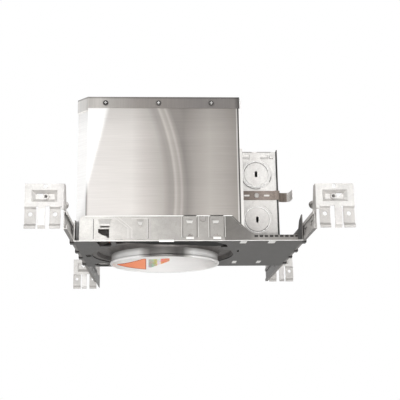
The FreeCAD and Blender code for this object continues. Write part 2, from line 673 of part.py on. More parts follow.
def socket_bracket():
    """Angle bracket: a slotted leg on the shell wall and an arm over the lamp."""
    high = ARM_Z + BRACKET_LEG_GAUGE
    right = SLIDE_X + BRACKET_LEG_GAUGE
    arm = bent_sheet([(right, 0, SLIDE_BOTTOM), (right, 0, high), (-ARM_REACH, 0, high)],
                     (ARM_BEND,), BRACKET_LEG_GAUGE, (0, ARM_HALF_WIDTH, 0), (0, 0, SLIDE_BOTTOM))
    arm = fuse([arm, arm.mirror(V(0, 0, 0), V(0, 1, 0))])
    lips = []
    for side in (1, -1):
        edge = side * ARM_HALF_WIDTH
        inner = edge - side * BRACKET_LEG_GAUGE
        lips.append(box((-ARM_REACH, HOLDER_FLANGE_R + 12), tuple(sorted((inner, edge))),
                        (ARM_Z + 0.2, high + ARM_LIP)))
    shoulder = ARM_Z - SHOULDER_DROP
    cuts = [box((SLIDE_X - 1, right + 1), (SLIDE_HALF_WIDTH, ARM_HALF_WIDTH + 1), (SLIDE_BOTTOM - 1, shoulder)),
            box((SLIDE_X - 1, right + 1), (-ARM_HALF_WIDTH - 1, -SLIDE_HALF_WIDTH), (SLIDE_BOTTOM - 1, shoulder))]
    slot_half = STUD_R + GAP
    cuts.append(box((SLIDE_X - 1, right + 1), (-slot_half, slot_half),
                    (SLOT_BOTTOM + slot_half, SLOT_TOP - slot_half)))
    for z in (SLOT_BOTTOM + slot_half, SLOT_TOP - slot_half):
        cuts.append(rod(slot_half, 4, (SLIDE_X - 1, 0, z), (1, 0, 0)))
    for y in (HOLDER_SCREW_OFFSET, -HOLDER_SCREW_OFFSET):
        cuts.append(rod(HOLDER_SCREW_R + SCREW_FIT, 6, (0, y, ARM_Z - 2), (0, 0, 1)))
    return cut(fuse([arm] + lips), cuts)


def lamp_holder():
    """Porcelain lamp holder: a flanged cup with a stepped outside."""
    top = HOLDER_TOP
    low = HOLDER_BOTTOM
    shoulder = top - HOLDER_FLANGE
    body = turned([(0, top), (HOLDER_FLANGE_R, top), (HOLDER_FLANGE_R, shoulder),
                   (HOLDER_R + 1.6, shoulder - 5), (HOLDER_R, shoulder - 12), (HOLDER_R, low + 1),
                   (HOLDER_R - 1, low), (HOLDER_BORE_R, low), (HOLDER_BORE_R, top - HOLDER_FLOOR),
                   (0, top - HOLDER_FLOOR)])
    holes = [rod(HOLDER_SCREW_R + SCREW_FIT, HOLDER_FLOOR + 2, (0, y, top - HOLDER_FLOOR - 1), (0, 0, 1))
             for y in (HOLDER_SCREW_OFFSET, -HOLDER_SCREW_OFFSET)]
    return cut(body, holes)


def screw_shell():
    """Rolled brass shell with a round-crested thread drawn as rings."""
    inner = THREAD_R
    bottom = HOLDER_BOTTOM + 1.5
    steps = 4
    profile = []
    for i in range(THREAD_TURNS * steps + 1):
        z = bottom + i * THREAD_PITCH / steps
        r = inner - THREAD_DEPTH / 2 + THREAD_DEPTH / 2 * math.cos(2 * math.pi * i / steps)
        profile.append((r, z))
    outer = [(r + THREAD_GAUGE, z) for r, z in reversed(profile)]
    top = HOLDER_TOP - HOLDER_FLOOR
    neck = turned(profile + outer)
    flange = turned([(inner - 2, top - 0.5), (inner + THREAD_GAUGE, top - 0.5), (inner + THREAD_GAUGE, top),
                     (inner - 2, top)])
    link = turned([(inner - 0.02, profile[-1][1] - 0.2), (inner + THREAD_GAUGE, profile[-1][1] - 0.2),
                   (inner + THREAD_GAUGE, top), (inner - 0.02, top)])
    return fuse([neck, link, flange])


def centre_contact():
    """Brass tongue that presses on the lamp's tip."""
    top = HOLDER_TOP - HOLDER_FLOOR - 0.01
    half = CONTACT_WIDTH / 2
    path = [(x, -half, top - drop) for x, drop in CONTACT_PATH]
    return bent_sheet(path, (CONTACT_BEND, CONTACT_BEND), CONTACT_GAUGE, (0, CONTACT_WIDTH, 0), (0, 0, 0))


def holder_screws():
    """Screws that hang the lamp holder from the bracket arm."""
    screws = []
    high = ARM_Z + BRACKET_LEG_GAUGE
    for y in (HOLDER_SCREW_OFFSET, -HOLDER_SCREW_OFFSET):
        head = pan_head(HOLDER_SCREW_HEAD_R, HOLDER_SCREW_HEAD, (0, y, high), (0, 0, 1))
        shank = rod(HOLDER_SCREW_R, BRACKET_LEG_GAUGE + HOLDER_FLOOR - 1, (0, y, high), (0, 0, -1))
        screws.append(head.fuse(shank))
    return Part.makeCompound(screws)


def bracket_stud():
    """Stud through the shell wall that the slotted leg slides on."""
    head = pan_head(STUD_HEAD_R, STUD_HEAD, (SHELL_RIGHT, STUD_Y, STUD_Z), (1, 0, 0))
    shank = rod(STUD_R, STUD_LENGTH + SHELL_GAUGE, (SHELL_RIGHT, STUD_Y, STUD_Z), (-1, 0, 0))
    return head.fuse(shank)


def wing_nut():
    """Wing nut that clamps the slotted leg at the chosen height."""
    face = SLIDE_X - GAP
    hub = Part.makeCone(NUT_HUB_R, NUT_HUB_R - 1.2, NUT_LENGTH, V(face, STUD_Y, STUD_Z), V(-1, 0, 0))
    wings = []
    for side in (1, -1):
        outline = [(face - 0.8, side * (STUD_R + 0.6)), (face - 1.6, side * NUT_WING_REACH * 0.75),
                   (face - NUT_WING_HEIGHT * 0.7, side * NUT_WING_REACH),
                   (face - NUT_WING_HEIGHT, side * NUT_WING_REACH * 0.8),
                   (face - NUT_LENGTH + 0.3, side * (STUD_R + 0.6))]
        wings.append(prism([(x, y, STUD_Z - NUT_WING_GAUGE / 2) for x, y in outline], (0, 0, NUT_WING_GAUGE)))
    bore = rod(STUD_R + RUNNING_GAP, 30, (face + 1, STUD_Y, STUD_Z), (-1, 0, 0))
    return fuse([hub] + wings).cut(bore)


def thermal_protector():
    """Heat cut-out on the shell wall, in a folded clip foot."""
    depth, width, height = PROTECTOR_SIZE
    foot_reach, foot_gauge = PROTECTOR_FOOT
    right = SHELL_WALL_X
    can = box((right - depth - foot_gauge, right - foot_gauge),
              (PROTECTOR_Y - width / 2, PROTECTOR_Y + width / 2), (PROTECTOR_Z, PROTECTOR_Z + height))
    upright = [e for e in can.Edges if e.BoundBox.ZLength > height - 1]
    can = can.makeFillet(PROTECTOR_CORNER, upright)
    foot = box((right - foot_gauge, right),
               (PROTECTOR_Y - width / 2 - foot_reach, PROTECTOR_Y + width / 2 + foot_reach),
               (PROTECTOR_Z + foot_reach, PROTECTOR_Z + height - foot_reach))
    return fuse([can, foot])


def wire_bushing():
    """Snap-in bushing for the leads between the shell and the junction box."""
    start = SHELL_WALL_X
    end = BOX_LEFT + BOX_GAUGE
    at = (start - BUSHING_FLANGE, BUSHING_Y, BUSHING_Z)
    lips = [rod(BUSHING_FLANGE_R, BUSHING_FLANGE, at, (1, 0, 0)),
            rod(BUSHING_R, end - start + 2 * BUSHING_FLANGE, at, (1, 0, 0)),
            rod(BUSHING_FLANGE_R, BUSHING_FLANGE, (end, BUSHING_Y, BUSHING_Z), (1, 0, 0))]
    bore = rod(BUSHING_BORE_R, end - start + 4 * BUSHING_FLANGE,
               (start - 2 * BUSHING_FLANGE, BUSHING_Y, BUSHING_Z), (1, 0, 0))
    return fuse(lips).cut(bore)


def knockout(x, z, face, out):
    """Two concentric half-sheared discs standing out of a wall, with their grooves and pry slot."""
    width, depth = KNOCKOUT_GROOVE
    rings = []
    grooves = []
    for level, radius in enumerate((KNOCKOUT_OUTER_R, KNOCKOUT_INNER_R)):
        rise = (level + 1) * KNOCKOUT_STEP
        rings.append(rod(radius, rise + 0.1, (x, face - 0.1 * out, z), (0, out, 0)))
        floor = face + out * (level * KNOCKOUT_STEP - depth)
        groove = rod(radius + width, depth + 1, (x, floor, z), (0, out, 0))
        grooves.append(groove.cut(rod(radius, depth + 2, (x, floor, z), (0, out, 0))))
    half = PRY_SLOT_WIDTH / 2
    straight = PRY_SLOT_LENGTH / 2 - half
    slot = [box((x - half, x + half), (face - 2, face + 2), (z - straight, z + straight))]
    slot += [rod(half, 4, (x, face - 2, z + dz), (0, 1, 0)) for dz in (straight, -straight)]
    return rings, grooves + slot


def junction_box():
    """Folded box open on its right side, with knockouts and cable slots in both ends."""
    low = FRAME_GAUGE
    outer = box((BOX_LEFT, BOX_RIGHT), (BOX_FRONT, BOX_REAR), (low, BOX_TOP))
    inner = box((BOX_LEFT + BOX_GAUGE, BOX_RIGHT + 1), (BOX_FRONT + BOX_GAUGE, BOX_REAR - BOX_GAUGE),
                (low + BOX_GAUGE, BOX_TOP - BOX_GAUGE))
    solids = [outer.cut(inner)]
    # Narrow returns that the door lies against
    for z in ((low, low + BOX_RETURN), (BOX_TOP - BOX_RETURN, BOX_TOP)):
        solids.append(box((BOX_RIGHT - BOX_GAUGE, BOX_RIGHT), (BOX_FRONT, BOX_REAR), z))
    slots = []
    for face, out in ((BOX_FRONT, -1), (BOX_REAR, 1)):
        for z in KNOCKOUT_Z:
            rings, pressed = knockout(KNOCKOUT_X, z, face, out)
            solids += rings
            slots += pressed
    for x in CABLE_SLOT_X:
        slots.append(box(x, (BOX_FRONT - 1, BOX_FRONT + 2), CABLE_SLOT_Z))
        slots.append(box((x[0] - 1.0, x[1] + 3.0), (BOX_FRONT - 1, BOX_FRONT + 0.5), (BOX_TOP - 0.6, BOX_TOP + 1)))
    slots.append(rod(BUSHING_R + SCREW_FIT, 6, (BOX_LEFT - 2, BUSHING_Y, BUSHING_Z), (1, 0, 0)))
    slots.append(rod(GROUND_SCREW_R + SCREW_FIT, 6, (BOX_LEFT - 2, GROUND_SCREW_Y, GROUND_SCREW_Z), (1, 0, 0)))
    slots.append(rod(STRAP_RIVET_R + SCREW_FIT, 6, (STRAP_RIVET_X, BOX_FRONT - 2, STRAP_MID_Z), (0, 1, 0)))
    slots.append(rod(BOX_SCREW_R + SCREW_FIT, 6, (BOX_SCREW_X, BOX_FRONT - 2, BOX_SCREW_Z), (0, 1, 0)))
    # Tabs under the box that fill the plate's slots and hold it there
    solids += [box((x[0] + TAB_FIT, x[1] - TAB_FIT), (y[0] + TAB_FIT, y[1] - TAB_FIT), (TAB_FIT / 2, low))
               for x, y in BOX_TABS]
    return cut(fuse(solids), slots)


def junction_box_door():
    """Door that wraps the box's front and rear edges and lifts out upwards."""
    front = BOX_FRONT - GAP
    rear = BOX_REAR + GAP
    low = FRAME_GAUGE + GAP
    top = BOX_TOP + DOOR_RISE
    wrap = DOOR_OUT - DOOR_WRAP
    door = box((wrap, DOOR_OUT), (front - BOX_GAUGE, rear + BOX_GAUGE), (low, top))
    folds = [e for e in door.Edges if e.BoundBox.ZLength > top - low - 1 and e.BoundBox.XMin > DOOR_IN]
    door = door.makeFillet(DOOR_BEND + BOX_GAUGE, folds)
    door = door.cut(box((wrap - 1, DOOR_IN), (front, rear), (low - 1, top + 1)))
    trims = [box((wrap - 1, DOOR_IN), (front - 2, front + 0.01), (top - 5, top + 1)),
             box((wrap - 1, DOOR_IN), (rear - 0.01, rear + 2), (top - 5, top + 1))]
    return cut(door, trims)


def latch_strap():
    """Spring strap: riveted across the box, round its corner, over the door and out to a tab."""
    face = BOX_FRONT
    stand = face - GAP - BOX_GAUGE - GAP
    over = DOOR_OUT + GAP
    back = stand + STRAP_DOOR_LEG
    tab_x = over + 2 * STRAP_CURL_R
    low = STRAP_Z[0]
    path = [(BOX_LEFT + 0.4, face, low), (STRAP_JOG_X, face, low), (STRAP_JOG_X + STRAP_JOG, stand, low),
            (over, stand, low), (over, back, low), (tab_x, back, low),
            (tab_x + 1.4, back - STRAP_TAB_LENGTH, low)]
    strap = bent_sheet(path, STRAP_BENDS, STRAP_GAUGE, (0, 0, STRAP_Z[1] - STRAP_Z[0]), (BOX_LEFT, 5 * face, low))
    length, height = STRAP_MARK
    cuts = [rod(STRAP_RIVET_R + SCREW_FIT, 6, (STRAP_RIVET_X, face - 3, STRAP_MID_Z), (0, 1, 0))]
    for x in STRAP_MARK_X:
        cuts.append(box((x - length / 2, x + length / 2), (face - 3, face + 1),
                        (STRAP_MID_Z - height / 2, STRAP_MID_Z + height / 2)))
    return cut(strap, cuts)


def strap_rivet():
    """Rivet that holds the latch strap to the box's front wall."""
    outside = BOX_FRONT - STRAP_GAUGE
    head = pan_head(STRAP_RIVET_HEAD_R, STRAP_RIVET_HEAD, (STRAP_RIVET_X, outside, STRAP_MID_Z), (0, -1, 0))
    shank = rod(STRAP_RIVET_R, STRAP_GAUGE + BOX_GAUGE + 0.8, (STRAP_RIVET_X, outside, STRAP_MID_Z), (0, 1, 0))
    return head.fuse(shank)


def box_screw():
    """Screw that holds the cable clamp inside the box."""
    head = pan_head(BOX_SCREW_HEAD_R, BOX_SCREW_HEAD, (BOX_SCREW_X, BOX_FRONT, BOX_SCREW_Z), (0, -1, 0))
    shank = rod(BOX_SCREW_R, BOX_SCREW_LENGTH, (BOX_SCREW_X, BOX_FRONT, BOX_SCREW_Z), (0, 1, 0))
    return head.fuse(shank)


def cable_clamp():
    """Spring plate behind the cable slots with one tongue for each cable."""
    face = BOX_FRONT + BOX_GAUGE
    back = face + CLAMP_GAUGE
    low, high = CLAMP_Z
    reach = CLAMP_TONGUE * 0.4
    solids = [box((BOX_LEFT + BOX_GAUGE + 0.1, BOX_SCREW_X + CLAMP_LUG), (face, back), (low, high))]
    for x in CABLE_SLOT_X:
        solids.append(prism([(x[0], back, low + 1), (x[0], face, low + 1), (x[0], face + reach, low + 1 - CLAMP_TONGUE),
                             (x[0], back + reach, low + 1 - CLAMP_TONGUE)], (x[1] - x[0], 0, 0)))
    hole = rod(BOX_SCREW_R + SCREW_FIT, 6, (BOX_SCREW_X, BOX_FRONT - 2, BOX_SCREW_Z), (0, 1, 0))
    return fuse(solids).cut(hole)


def ground_screw():
    """Hex-headed earth screw in the box's inner wall."""
    inside = BOX_LEFT + BOX_GAUGE
    flats = [(inside, GROUND_SCREW_Y + GROUND_SCREW_HEAD_R * math.cos(math.radians(60 * i)),
              GROUND_SCREW_Z + GROUND_SCREW_HEAD_R * math.sin(math.radians(60 * i))) for i in range(6)]
    head = prism(flats, (GROUND_SCREW_HEAD, 0, 0))
    shank = rod(GROUND_SCREW_R, BOX_GAUGE + 2.0, (inside, GROUND_SCREW_Y, GROUND_SCREW_Z), (-1, 0, 0))
    return head.fuse(shank)


def frame_rivets():
    """Rivets that hold the shell's front and rear walls to the flanges."""
    rivets = []
    for face, out in ((FRAME_FRONT, -1), (FRAME_REAR, 1)):
        start = (FLANGE_RIVET_X, face, FLANGE_RIVET_Z)
        shank = rod(RIVET_R, FRAME_GAUGE + SHELL_GAUGE + 0.6, start, (0, -out, 0))
        rivets.append(pan_head(RIVET_HEAD_R, RIVET_HEAD, start, (0, out, 0)).fuse(shank))
    return Part.makeCompound(rivets)


def hanger_leg(span, straight):
    """One leg of the nail bracket, jogged back below the plate with its foot turned."""
    x = span[0]
    width = span[1] - span[0]
    back = -BAR_GAUGE
    if straight:
        path = [(x, 0, BRACKET_PLATE_Z + 1), (x, 0, BAR_BOTTOM + 3.0), (x, back - 0.8, BAR_BOTTOM)]
    else:
        path = [(x, 0, BRACKET_PLATE_Z + 1), (x, 0, BRACKET_PLATE_Z - 0.5),
                (x, -LEG_JOG, BRACKET_PLATE_Z - 2.5), (x, -LEG_JOG, BAR_BOTTOM + 4.4),
                (x, 0, BAR_BOTTOM + 2.2), (x, 0, BAR_BOTTOM)]
    bends = (LEG_BEND,) * (len(path) - 2)
    return bent_sheet(path, bends, BAR_GAUGE, (width, 0, 0), (x, -BAR_LENGTH, 0))


def nail_pocket():
    """Pressed pocket behind the bracket plate: its sheet, and the space inside it."""
    def ring(inset, y):
        x0 = POCKET_X[0] + inset
        x1 = POCKET_X[1] - inset
        z0 = POCKET_Z[0] + inset
        z1 = POCKET_Z[1] - inset
        corners = [V(x0, y, z0), V(x1, y, z0), V(x1, y, z1), V(x0, y, z1), V(x0, y, z0)]
        return Part.makePolygon(corners)
    outside = Part.makeLoft([ring(-BAR_GAUGE, -BAR_GAUGE / 2), ring(POCKET_SLOPE - BAR_GAUGE, -POCKET_DEPTH)], True)
    inside = Part.makeLoft([ring(0, 0.01), ring(POCKET_SLOPE, BAR_GAUGE - POCKET_DEPTH)], True)
    return outside, inside


def nail_axis():
    """Point where the nail crosses its eyelet, and its direction towards the tip."""
    lean = math.radians(NAIL_LEAN_DEG)
    point = V(EYELET_X, BAR_GAUGE / 2 - POCKET_DEPTH, EYELET_Z)
    return point, V(math.sin(lean), math.cos(lean), 0)


def nail_bracket(bar_face):
    """Bracket plate with neck, pocket, eyelet and three legs, turned outward from the bar."""
    neck = bent_sheet([(bar_face, -NECK_LENGTH, BAR_BOTTOM), (bar_face, 0, BAR_BOTTOM), (BRACKET_WIDTH, 0, BAR_BOTTOM)],
                      (BRACKET_BEND,), BAR_GAUGE, (0, 0, BRACKET_TOP - BAR_BOTTOM), (BRACKET_WIDTH, -NECK_LENGTH, 0))
    bend_reach = bar_face + BAR_GAUGE + BRACKET_BEND
    below_plate = box((bend_reach, BRACKET_WIDTH + 1), (-3, 1), (BAR_BOTTOM - 1, BRACKET_PLATE_Z))
    bend_foot = box((bar_face - 1, bend_reach + 0.1), (-3.0, 1), (BAR_BOTTOM - 1, BRACKET_PLATE_Z - 3))
    slope = prism([(bar_face - 1, -NECK_LENGTH - 1, BRACKET_PLATE_Z), (bar_face - 1, -NECK_LENGTH - 1, BRACKET_TOP + 1),
                   (bar_face - 1, -NECK_TOP_LENGTH, BRACKET_TOP + 1),
                   (bar_face - 1, -NECK_TOP_LENGTH, BRACKET_TOP)], (3, 0, 0))
    neck_foot = box((bar_face - 1, bar_face + 2), (-NECK_LENGTH - 1, -3.0), (BAR_BOTTOM - 1, BAR_TOP + GAP))
    sheet = cut(neck, [below_plate, bend_foot, slope, neck_foot])
    outside, inside = nail_pocket()
    legs = [hanger_leg(INNER_LEG, False), hanger_leg(CENTRE_LEG, True), hanger_leg(OUTER_LEG, False)]
    point, axis = nail_axis()
    eyelet = Part.makeCylinder(NAIL_R + NAIL_FIT + EYELET_WALL, EYELET_LENGTH, point, axis)
    bracket = fuse([sheet, outside] + legs)
    bracket = fuse([bracket.cut(inside), eyelet])
    holes = [Part.makeCylinder(NAIL_R + NAIL_FIT, 24, point - axis * 12, axis)]
    holes.append(rod(TOP_HOLE_R, 4, (TOP_HOLE_X, -2, BRACKET_TOP - 2.4), (0, 1, 0)))
    for leg in (INNER_LEG, OUTER_LEG):
        holes.append(rod(LEG_HOLE_R, 8, ((leg[0] + leg[1]) / 2, -5, LEG_HOLE_Z), (0, 1, 0)))
    holes.append(prism([(27.0, -POCKET_DEPTH - 1, 32.4), (20.8, -POCKET_DEPTH - 1, 32.4),
                        (22.6, -POCKET_DEPTH - 1, 28.4)], (0, 3, 0)))
    return cut(bracket, holes)


def channel_bar():
    """Outer bar half: a channel with hemmed lips, and the nail bracket on its end."""
    length = BAR_LENGTH - 3.0
    def run(x, z):
        return box(x, (-BAR_LENGTH, -BAR_LENGTH + length), z)
    solids = [run((WEB_IN, WEB_OUT), (BAR_BOTTOM, BAR_TOP)),
              run((HEM_IN, WEB_OUT), (BAR_TOP - BAR_GAUGE, BAR_TOP)),
              run((HEM_IN, WEB_OUT), (BAR_BOTTOM, BAR_BOTTOM + BAR_GAUGE)),
              run((HEM_IN, HEM_IN + BAR_GAUGE), (BAR_TOP - BAR_HEM, BAR_TOP)),
              run((HEM_IN, HEM_IN + BAR_GAUGE), (BAR_BOTTOM, BAR_BOTTOM + BAR_HEM)),
              box((WEB_IN, WEB_OUT), (-NECK_LENGTH, -2.0), (BAR_TOP - 3.0, BAR_TOP + GAP + 0.2)),
              box((WEB_IN, WEB_OUT), (-4.0, -BRACKET_BEND - BAR_GAUGE), (BAR_TOP - 4.0, BRACKET_PLATE_Z))]
    return fuse(solids + [nail_bracket(WEB_IN)])


def strip_bar():
    """Inner bar half: a flat strip with pressed dimples, and the nail bracket on its end."""
    low = BAR_BOTTOM + BAR_GAUGE + GAP
    high = BAR_TOP - BAR_GAUGE - GAP
    strip = box((STRIP_IN, STRIP_IN + BAR_GAUGE), (-BAR_LENGTH, -2.0), (low, high))
    post = box((STRIP_IN, STRIP_IN + BAR_GAUGE), (-3.0, -2.0), (low, BRACKET_PLATE_Z))
    mid = (low + high) / 2
    slots = [box((STRIP_IN - 1, STRIP_IN + 2), (-BAR_LENGTH + 8 + i * 30, -BAR_LENGTH + 20 + i * 30),
                 (mid - 2.0, mid + 2.0)) for i in range(9)]
    return fuse([strip.cut(Part.makeCompound(slots)), post, nail_bracket(STRIP_IN)])


def nail():
    """Ready-fitted nail through the bracket's eyelet."""
    point, axis = nail_axis()
    tip = point + axis * (POCKET_DEPTH - 0.8)
    shank_length = NAIL_LENGTH - NAIL_TIP
    cone = Part.makeCone(NAIL_R, 0.2, NAIL_TIP, tip - axis * NAIL_TIP, axis)
    shank = Part.makeCylinder(NAIL_R, shank_length, tip - axis * NAIL_LENGTH, axis)
    head = Part.makeCylinder(NAIL_HEAD_R, NAIL_HEAD, tip - axis * NAIL_LENGTH, axis)
    return fuse([cone, shank, head])


def placed(shape, side, end_y, end):
    """Local bar piece moved to its side of the frame and to its end of the bar."""
    if side < 0:
        shape = shape.mirror(V(0, 0, 0), V(1, 0, 0))
    if end < 0:
        shape = shape.mirror(V(0, 0, 0), V(0, 1, 0))
    edge = FRAME_RIGHT if side > 0 else FRAME_LEFT
    shape.translate(V(edge, end_y, 0))
    return shape


def hanger_parts():
    """Four bar halves and their nails, by node name."""
    parts = {}
    for name, side, rear_y in (("left", -1, LEFT_REAR_Y), ("right", 1, RIGHT_REAR_Y)):
        parts["front_" + name + "_bar"] = placed(channel_bar(), side, BAR_FRONT_Y, -1)
        parts["rear_" + name + "_bar"] = placed(strip_bar(), side, rear_y, 1)
        parts["front_" + name + "_nail"] = placed(nail(), side, BAR_FRONT_Y, -1)
        parts["rear_" + name + "_nail"] = placed(nail(), side, rear_y, 1)
    return parts


def main():
    """Build every node and write it to its own file."""
    makers = (mounting_frame, housing_shell, housing_top_cap, cap_screws, collar_pan, aperture_collar,
              collar_rivets, socket_bracket, lamp_holder, screw_shell, centre_contact, holder_screws,
              bracket_stud, wing_nut, thermal_protector, wire_bushing, junction_box, junction_box_door,
              latch_strap, strap_rivet, box_screw, cable_clamp, ground_screw, frame_rivets)
    parts = {maker.__name__: maker() for maker in makers}
    parts.update(hanger_parts())
    os.makedirs("parts", exist_ok=True)
    for name, shape in parts.items():
        shape.exportStep("parts/" + name + ".step")
        box_text = "%6.1f %6.1f %6.1f  %6.1f %6.1f %6.1f" % (
            shape.BoundBox.XMin, shape.BoundBox.YMin, shape.BoundBox.ZMin,
            shape.BoundBox.XMax, shape.BoundBox.YMax, shape.BoundBox.ZMax)
        print("%-20s solids %d valid %s volume %9.1f  %s" % (
            name, len(shape.Solids), shape.isValid(), shape.Volume, box_text))


main()
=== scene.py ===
"""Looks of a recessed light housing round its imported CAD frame, in metres."""

import json
import math

import bmesh
import bpy
from mathutils import Matrix, Vector


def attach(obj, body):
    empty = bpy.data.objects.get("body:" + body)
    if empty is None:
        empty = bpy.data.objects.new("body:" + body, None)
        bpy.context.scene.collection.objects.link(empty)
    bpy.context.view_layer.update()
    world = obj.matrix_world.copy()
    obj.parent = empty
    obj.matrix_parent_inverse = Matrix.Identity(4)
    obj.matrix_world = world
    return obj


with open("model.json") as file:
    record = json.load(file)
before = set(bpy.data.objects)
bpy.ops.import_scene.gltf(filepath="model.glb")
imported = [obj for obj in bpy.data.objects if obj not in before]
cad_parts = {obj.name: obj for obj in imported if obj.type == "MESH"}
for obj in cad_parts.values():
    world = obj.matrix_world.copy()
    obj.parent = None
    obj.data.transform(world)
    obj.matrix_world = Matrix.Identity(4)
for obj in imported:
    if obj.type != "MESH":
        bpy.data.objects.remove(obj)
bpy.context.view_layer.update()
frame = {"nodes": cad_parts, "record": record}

# Camera fitted to the photograph: place in metres, angles in degrees, lens and sensor in millimetres
CAMERA_PLACE = (-0.003913, -0.808549, -0.136627)
CAMERA_YAW = 2.84
CAMERA_PITCH = 13.44
CAMERA_ROLL = -0.79
CAMERA_LENS = 73.33
CAMERA_SENSOR = 36.0

# The floor lies below the lens, because the housing hangs over it as it does in use, in metres
FLOOR_LEVEL = -0.42
FLOOR_REACH = 6.0
HOUSING_MIDDLE = (0.02, 0.0, 0.06)

# Strength of the white surroundings as light on the object, and as the lens and reflections see them
SKY_LIGHT = 0.28
SKY_SEEN = 1.0

# Most values of a noise pattern lie between these two
NOISE_SPAN = (0.3, 0.7)

# How far a face is turned, as the upward part of its normal, for painted light and shade: on a fold, and
# square downward
FOLD_TURN = (-0.25, -0.5)
BELOW_TURN = (-0.9, -0.97)
# A side face looks outward once its X in millimetres times its normal's X passes through these
OUTWARD_SPAN = (20.0, 40.0)

# Frame in millimetres: its front flange's face, and the depths from which a point stands out of it and
# gets a painted highlight, is pressed into it and gets painted shade, or belongs to a side face behind it
FRAME_SPAN = (-85.0, 130.0)
FLANGE_FACE = -77.0
FLANGE_PROUD = (FLANGE_FACE - 1.0, FLANGE_FACE - 1.6)
FLANGE_PRESSED = (FLANGE_FACE + 0.15, FLANGE_FACE + 0.3)
FLANGE_SIDES = (FLANGE_FACE + 0.2, FLANGE_FACE + 0.5)

# Painted highlights along edges on the front flange in millimetres: depths of the ribs' and panels' faces,
# and points in X and Z
RIB_DEPTH = FLANGE_FACE - 0.5
PANEL_DEPTH = FLANGE_FACE - 0.75
RIB_RUNS = (((-46.4, 22.2), (-33.8, 12.3), (-33.7, 2.8)), ((-42.6, 22.2), (-30.2, 11.8), (-30.2, 2.8)))
SEAM_RUNS = (((-65.6, 3.0), (-65.6, 20.8)), ((-16.0, 3.0), (-16.0, 20.8)), ((-66.0, 21.4), (-46.4, 21.4)),
             ((-30.4, 20.9), (-16.4, 20.9)), ((-57.5, 16.2), (-47.2, 16.2)))
PANEL_MIDDLES = (22.8, 47.6)
PANEL_HALF_WIDTH = 7.6
PANEL_HEIGHTS = (3.6, 22.6)
HEM_DEPTH = FLANGE_FACE - 0.2
HEM_RUN = ((-73.0, 23.4), (61.6, 23.4))
HOOK_DEPTH = FLANGE_FACE + 0.4
HOOK_RUN = ((-4.6, 0.2), (7.2, 0.2))

# Housing shell in millimetres, with its bend at the right, its sheen and its crease
SHELL_SPAN = (-83.0, 73.0)
SHELL_TOP = 125.0
UNDER_CAP = 22.0
BEND_SPAN = (70.3, 70.6)
BEND_DEPTH = (-48.0, -54.0)
SHEEN_FOOT = -84.5
SHEEN_SLOPE = 0.24
SHEEN_BLEND = (-3.0, 2.5)
CREASE_X = 13.6
CREASE_Z = 45.0
CREASE_BEND = 0.0023
CREASE_REACH = 15.0

# Cap in millimetres: its lit lower edge and shaded upper edge, each with its gain, and its screws
CAP_LOW = 125.2
CAP_HIGH = 139.0
CAP_EDGES = ((CAP_LOW + 1.4, CAP_LOW + 0.6, 1.5), (CAP_HIGH - 1.6, CAP_HIGH - 0.8, 0.55))
CAP_SCREW_FACES = ((-78.5, -1), (74.5, 1))
CAP_SCREW_MIDDLES = (-55.7, -5.7, 44.3)
CAP_SCREW_LEVEL = 133.0
RECESS_LENGTH = 2.6
RECESS_WIDTH = 0.6
RECESS_DEPTH = 0.06

# Collar in millimetres: the middle of its wall, and the heights where the pan shades it
COLLAR_SPAN = (-54.0, 54.0)
COLLAR_WALL_MIDDLE = 52.55
COLLAR_WALL_BLEND = 0.1
COLLAR_SHADE = (-4.5, 0.5)

# Labels in metres, on the collar's inner wall
COLLAR_INSIDE = 0.0521
LABEL_THICKNESS = 0.00012
LABEL_OFFSET = 0.00008
LABEL_ROWS = 12
LABEL_STEPS = 24
ORANGE_TIP = Vector((-0.0482, 0.0199, -0.0060))
ORANGE_BORDER = Vector((0, 0, 0.0004))

# Black sheet that stands for the shadow in the relief: its underside and top in metres, and its outline in
# millimetres
SHADOW_SHEET_LEVELS = (0.00045, 0.00075)
SHADOW_SHEET_OUTLINE = ((-47.0, -76.0), (38.0, -76.0), (48.0, -70.0), (56.0, -59.0), (55.0, -50.0), (48.0, -47.0),
                  (40.0, -49.0), (20.0, -54.5), (0.0, -56.5), (-10.0, -58.0), (-30.0, -66.5), (-47.0, -74.0))

# Junction box in millimetres: its front wall, its top, where painted shade darkens its foot, and its
# knockouts
BOX_SPAN = (60.0, 110.0)
BOX_FACE = -64.7
BOX_TOP = 88.0
BOX_FOOT = (58.0, 8.0)
UPPER_KNOCKOUT = (86.6, 66.4)
LOWER_KNOCKOUT = (86.6, 22.4)
ARC_PIECES = 20
# Radius in millimetres and ends in degrees of each arc of painted shade and of painted highlight
UPPER_SHADED_ARCS = ((11.4, 15, 165), (14.4, 175, 285), (14.4, 330, 350))
LOWER_SHADED_ARCS = ((11.3, 185, 330),)
UPPER_BRIGHT_ARCS = ((12.6, 0, 360), (13.4, 180, 300))
LOWER_BRIGHT_ARCS = ((12.2, 0, 360),)
BOX_FOLD_RUNS = (((72.0, 88.2), (83.0, 88.2)), ((88.2, 88.2), (101.0, 88.2)), ((73.4, 82.4), (80.4, 82.4)),
                 ((91.0, 82.4), (98.6, 82.4)))

STRAP_SPAN = (68.0, 124.0)

# Hanger bars in millimetres: over the channel's top and near the front end their sides are painted lighter,
# as lit
BAR_SPAN = (-120.0, 164.0)
BAR_TOP = 16.6
BAR_LIFT = (BAR_TOP, BAR_TOP + 3.0)
BAR_FRONT_END = (FLANGE_FACE + 20.0, FLANGE_FACE + 5.0)
BRACKET_LEG_TOP = 20.6
BRACKET_LEGS = (BRACKET_LEG_TOP - 1.6, BRACKET_LEG_TOP - 2.4)

# Painted light along the front of the frame, bright at its left end and darker towards the grey gusset and
# lip
FRAME_LIGHT_TONES = ((-78, "#e0deda"), (-58, "#dcdad6"), (-45, "#c8c5c1"), (-20, "#b3b0ac"), (0, "#a4a19d"),
               (15, "#9b9894"), (54.4, "#96938f"), (55.2, "#66635f"), (78, "#6c6966"), (86, "#8c8985"),
               (122, "#787572"))
